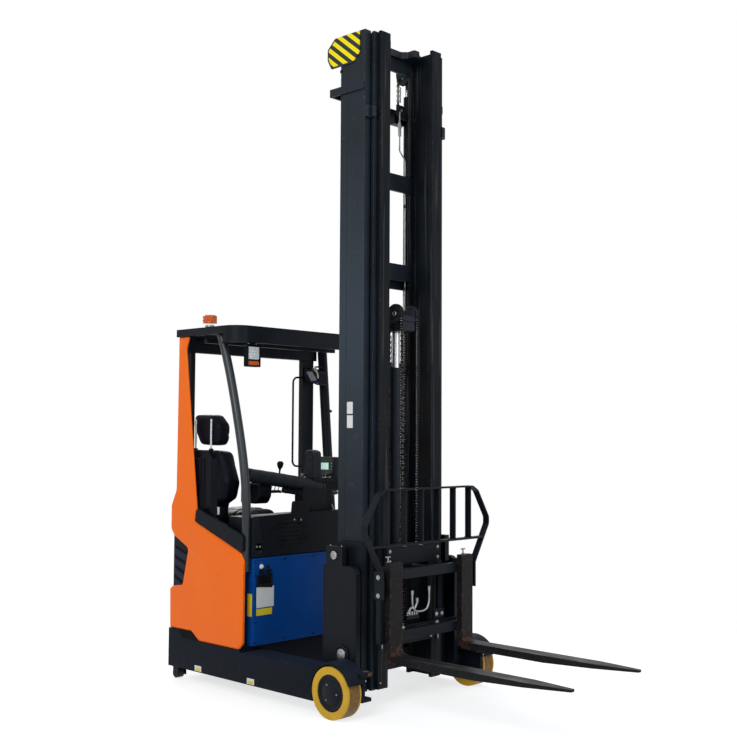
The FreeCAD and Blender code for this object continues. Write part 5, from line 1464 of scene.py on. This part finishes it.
@piece("chassis", "black_plastic", "dark_plastic reflector lens frame red", replaces="work_light")
def work_lamp(shape):
    """Square lamp: faceted reflector above, amber lens below, on a sprung bracket."""
    shape.plate("YZ", (-523, -417), (1963, 2095), (-905, -870), (10, 10), 5)
    rim = [(-523, 1963), (-417, 1963), (-417, 2095), (-523, 2095)]
    for (y0, z0), (y1, z1) in zip(rim, rim[1:] + rim[:1]):
        along = sorted((y0, y1)) if y0 != y1 else sorted((y0, y0 + (9 if y0 < -470 else -9)))
        height = sorted((z0, z1)) if z0 != z1 else sorted((z0, z0 + (7 if z0 < 2000 else -7)))
        shape.block((-872, -862), along, height, 2)
    shape.block((-870, -866), (-514, -426), (2008, 2088), 1.5, 1)
    for row in range(7):
        for column in range(8):
            shape.lathe((-866, -507.5 + column * 10.6, 2014 + row * 11), "X",
                        [(4.4, 0), (3.2, 1.4), (0, 2.2)], 8, 1)
    shape.block((-872, -864), (-514, -426), (2000, 2008))
    shape.block((-870, -865), (-512, -428), (1972, 1999), 2.5, 2)
    for y in range(-506, -430, 9):
        shape.block((-866, -864.2), (y, y + 2), (1974, 1997), 0.4, 2)
    shape.block((-892, -876), (-508, -432), (2095, 2103), 2, 3)
    for y in (-498, -442):
        shape.bolt((-884, y, 2103), "Z", 6, 8, 1, False)
        shape.block((-889, -879), (y - 5, y + 5), (2103, 2132), 2, 3)
    shape.block((-888, -868), (-484, -456), (2103, 2207), 2, 3)
    shape.block((-870, -860), (-480, -460), (2120, 2132), 2, 4)


@piece("steering_wheel", "black_plastic", "soft_black dark_plastic steel", replaces="steering_wheel")
def steering_rim(shape):
    """Steering wheel with a soft rim, three spokes, a hub cap and its turning knob."""
    ring = [(-1130 + 110 * math.cos(a), 360 + 110 * math.sin(a), 1150)
            for a in (2 * math.pi * k / 72 for k in range(72))]
    shape.sweep(ring, 12.5, 16, closed=True)
    for turn in (60, 180, 300):
        angle = math.radians(turn)
        way = Vector((math.cos(angle), math.sin(angle), 0))
        centre = Vector((-1130, 360, 1148))
        shape.rod(centre + way * 24, centre + way * 104, 9, 12, 1, 1)
    shape.lathe((-1130, 360, 1125), "Z", [(0, 0), (26, 0), (32, 10), (32, 30), (24, 38), (0, 40)], 32, 1)
    shape.rod((-1045, 420, 1148), (-1045, 420, 1172), 7, 12, 1, 2)
    shape.lathe((-1045, 420, 1170), "Z", [(8, 0), (14, 8), (15, 20), (12, 31), (0, 35)], 24)


@piece("chassis", "black_plastic", "dark_plastic steel hole")
def cab_details(shape):
    """Bolts and seals on the guard, and a knob on its rear post."""
    for side in (-1, 1):
        for x in (-1390, -1200, -1020):
            shape.bolt((x, side * 620, 2212), "Z", 6, 4, 1, False)
    for y in (-560, -300, 0, 300, 560):
        shape.bolt((-1423, y, 2195), "Z", 6, 4, 1, False)
    shape.block((-976, -969), (-632.6, -628), (2098, 2212), 1, 2)
    shape.block((-976, -969), (628, 632.6), (2098, 2212), 1, 2)
    shape.lathe((-1330, 628, 1714), (1, 0.4, 0), [(0, 0), (9, 0), (11, 10), (7, 22), (0, 24)], 16)


@piece("chassis", "black_plastic", "soft_black cheek hole red steel")
def dashboard_details(shape):
    """Grey top plate, vents painted as dark strips of shade, plug and small buttons on the dashboard."""
    shape.block((-984, -818), (2, 18), (1200, 1258), 3)
    shape.lathe((-915, 137, 1262), "Z", [(15, 0), (15, 4), (9, 5), (9, 12), (17, 14), (18, 20), (13, 25),
                                         (0, 26)], 24, 3)
    for x, y in ((-878, 118), (-864, 150), (-848, 176)):
        shape.lathe((x, y, 1262), "Z", [(7, 0), (7, 5), (5, 7), (5, 12), (0, 13)], 16, 4)
    shape.plate("XY", (-982, -818), (100, 306), (1261.6, 1265), (10, 10), 1, 1)
    for row in range(4):
        shape.block((-815.5, -813.5), (30, 280), (1196 + row * 14, 1202 + row * 14), 0.6, 2)
    shape.block((-888, -820), (-96.8, -95), (1060, 1160), 0.6, 2)
    shape.rod((-985, 300, 1120), (-940, 300, 1050), 4, 10, 1, 4)


@piece("chassis", "black_plastic", "hole dark_plastic steel soft_black")
def rear_details(shape):
    """Vent slots painted as dark shade, handles and hinges on the back cover, steps and pedals at the entry.
    """
    x = -1466
    for row in range(9):
        z = 560 + row * 26
        shape.plate("YZ", (-230, 230), (z, z + 12), (x - 0.8, x + 1), (5, 5), 0)
        shape.plate("YZ", (-226, 226), (z + 10, z + 14), (x - 4, x), (0, 0), 0.8, 1)
    shape.plate("YZ", (-560, 560), (430, 950), (x - 2.2, x + 1), (30, 40), 2, 1)
    for y in (-520, 520):
        for z in (470, 900):
            shape.bolt((x - 2, y, z), "-X", 7, 5, 2)
    for y in (-360, 360):
        shape.lathe((x - 2, y, 780), "-X", [(26, 0), (26, 4), (20, 5), (18, 2), (0, 2)], 32, 1)
        shape.block((x - 8, x - 3), (y - 4, y + 4), (764, 796), 1.5, 2)
    for y in range(190, 560, 46):
        for px in range(-1420, -1010, 46):
            shape.lathe((px, y, 409), "Z", [(9, 0), (8, 1.6), (0, 1.8)], 8, 1)
    for y in (190, 330):
        shape.prism("YZ", [(y, 409), (y + 90, 409), (y + 84, 440, 8), (y + 6, 470, 8)], (-1060, -1000), 3)
        for rib in range(5):
            shape.block((-1056, -1004), (y + 10 + rib * 15, y + 14 + rib * 15),
                        (438 + (4 - rib) * 6, 472 - rib * 5), 1, 3)
    shape.block((-1340, -1050), (636, 640), (330, 372), 3, 1)
    for rib in range(12):
        shape.block((-1334 + rib * 24, -1322 + rib * 24), (608, 614), (397, 401), 0.5, 1)
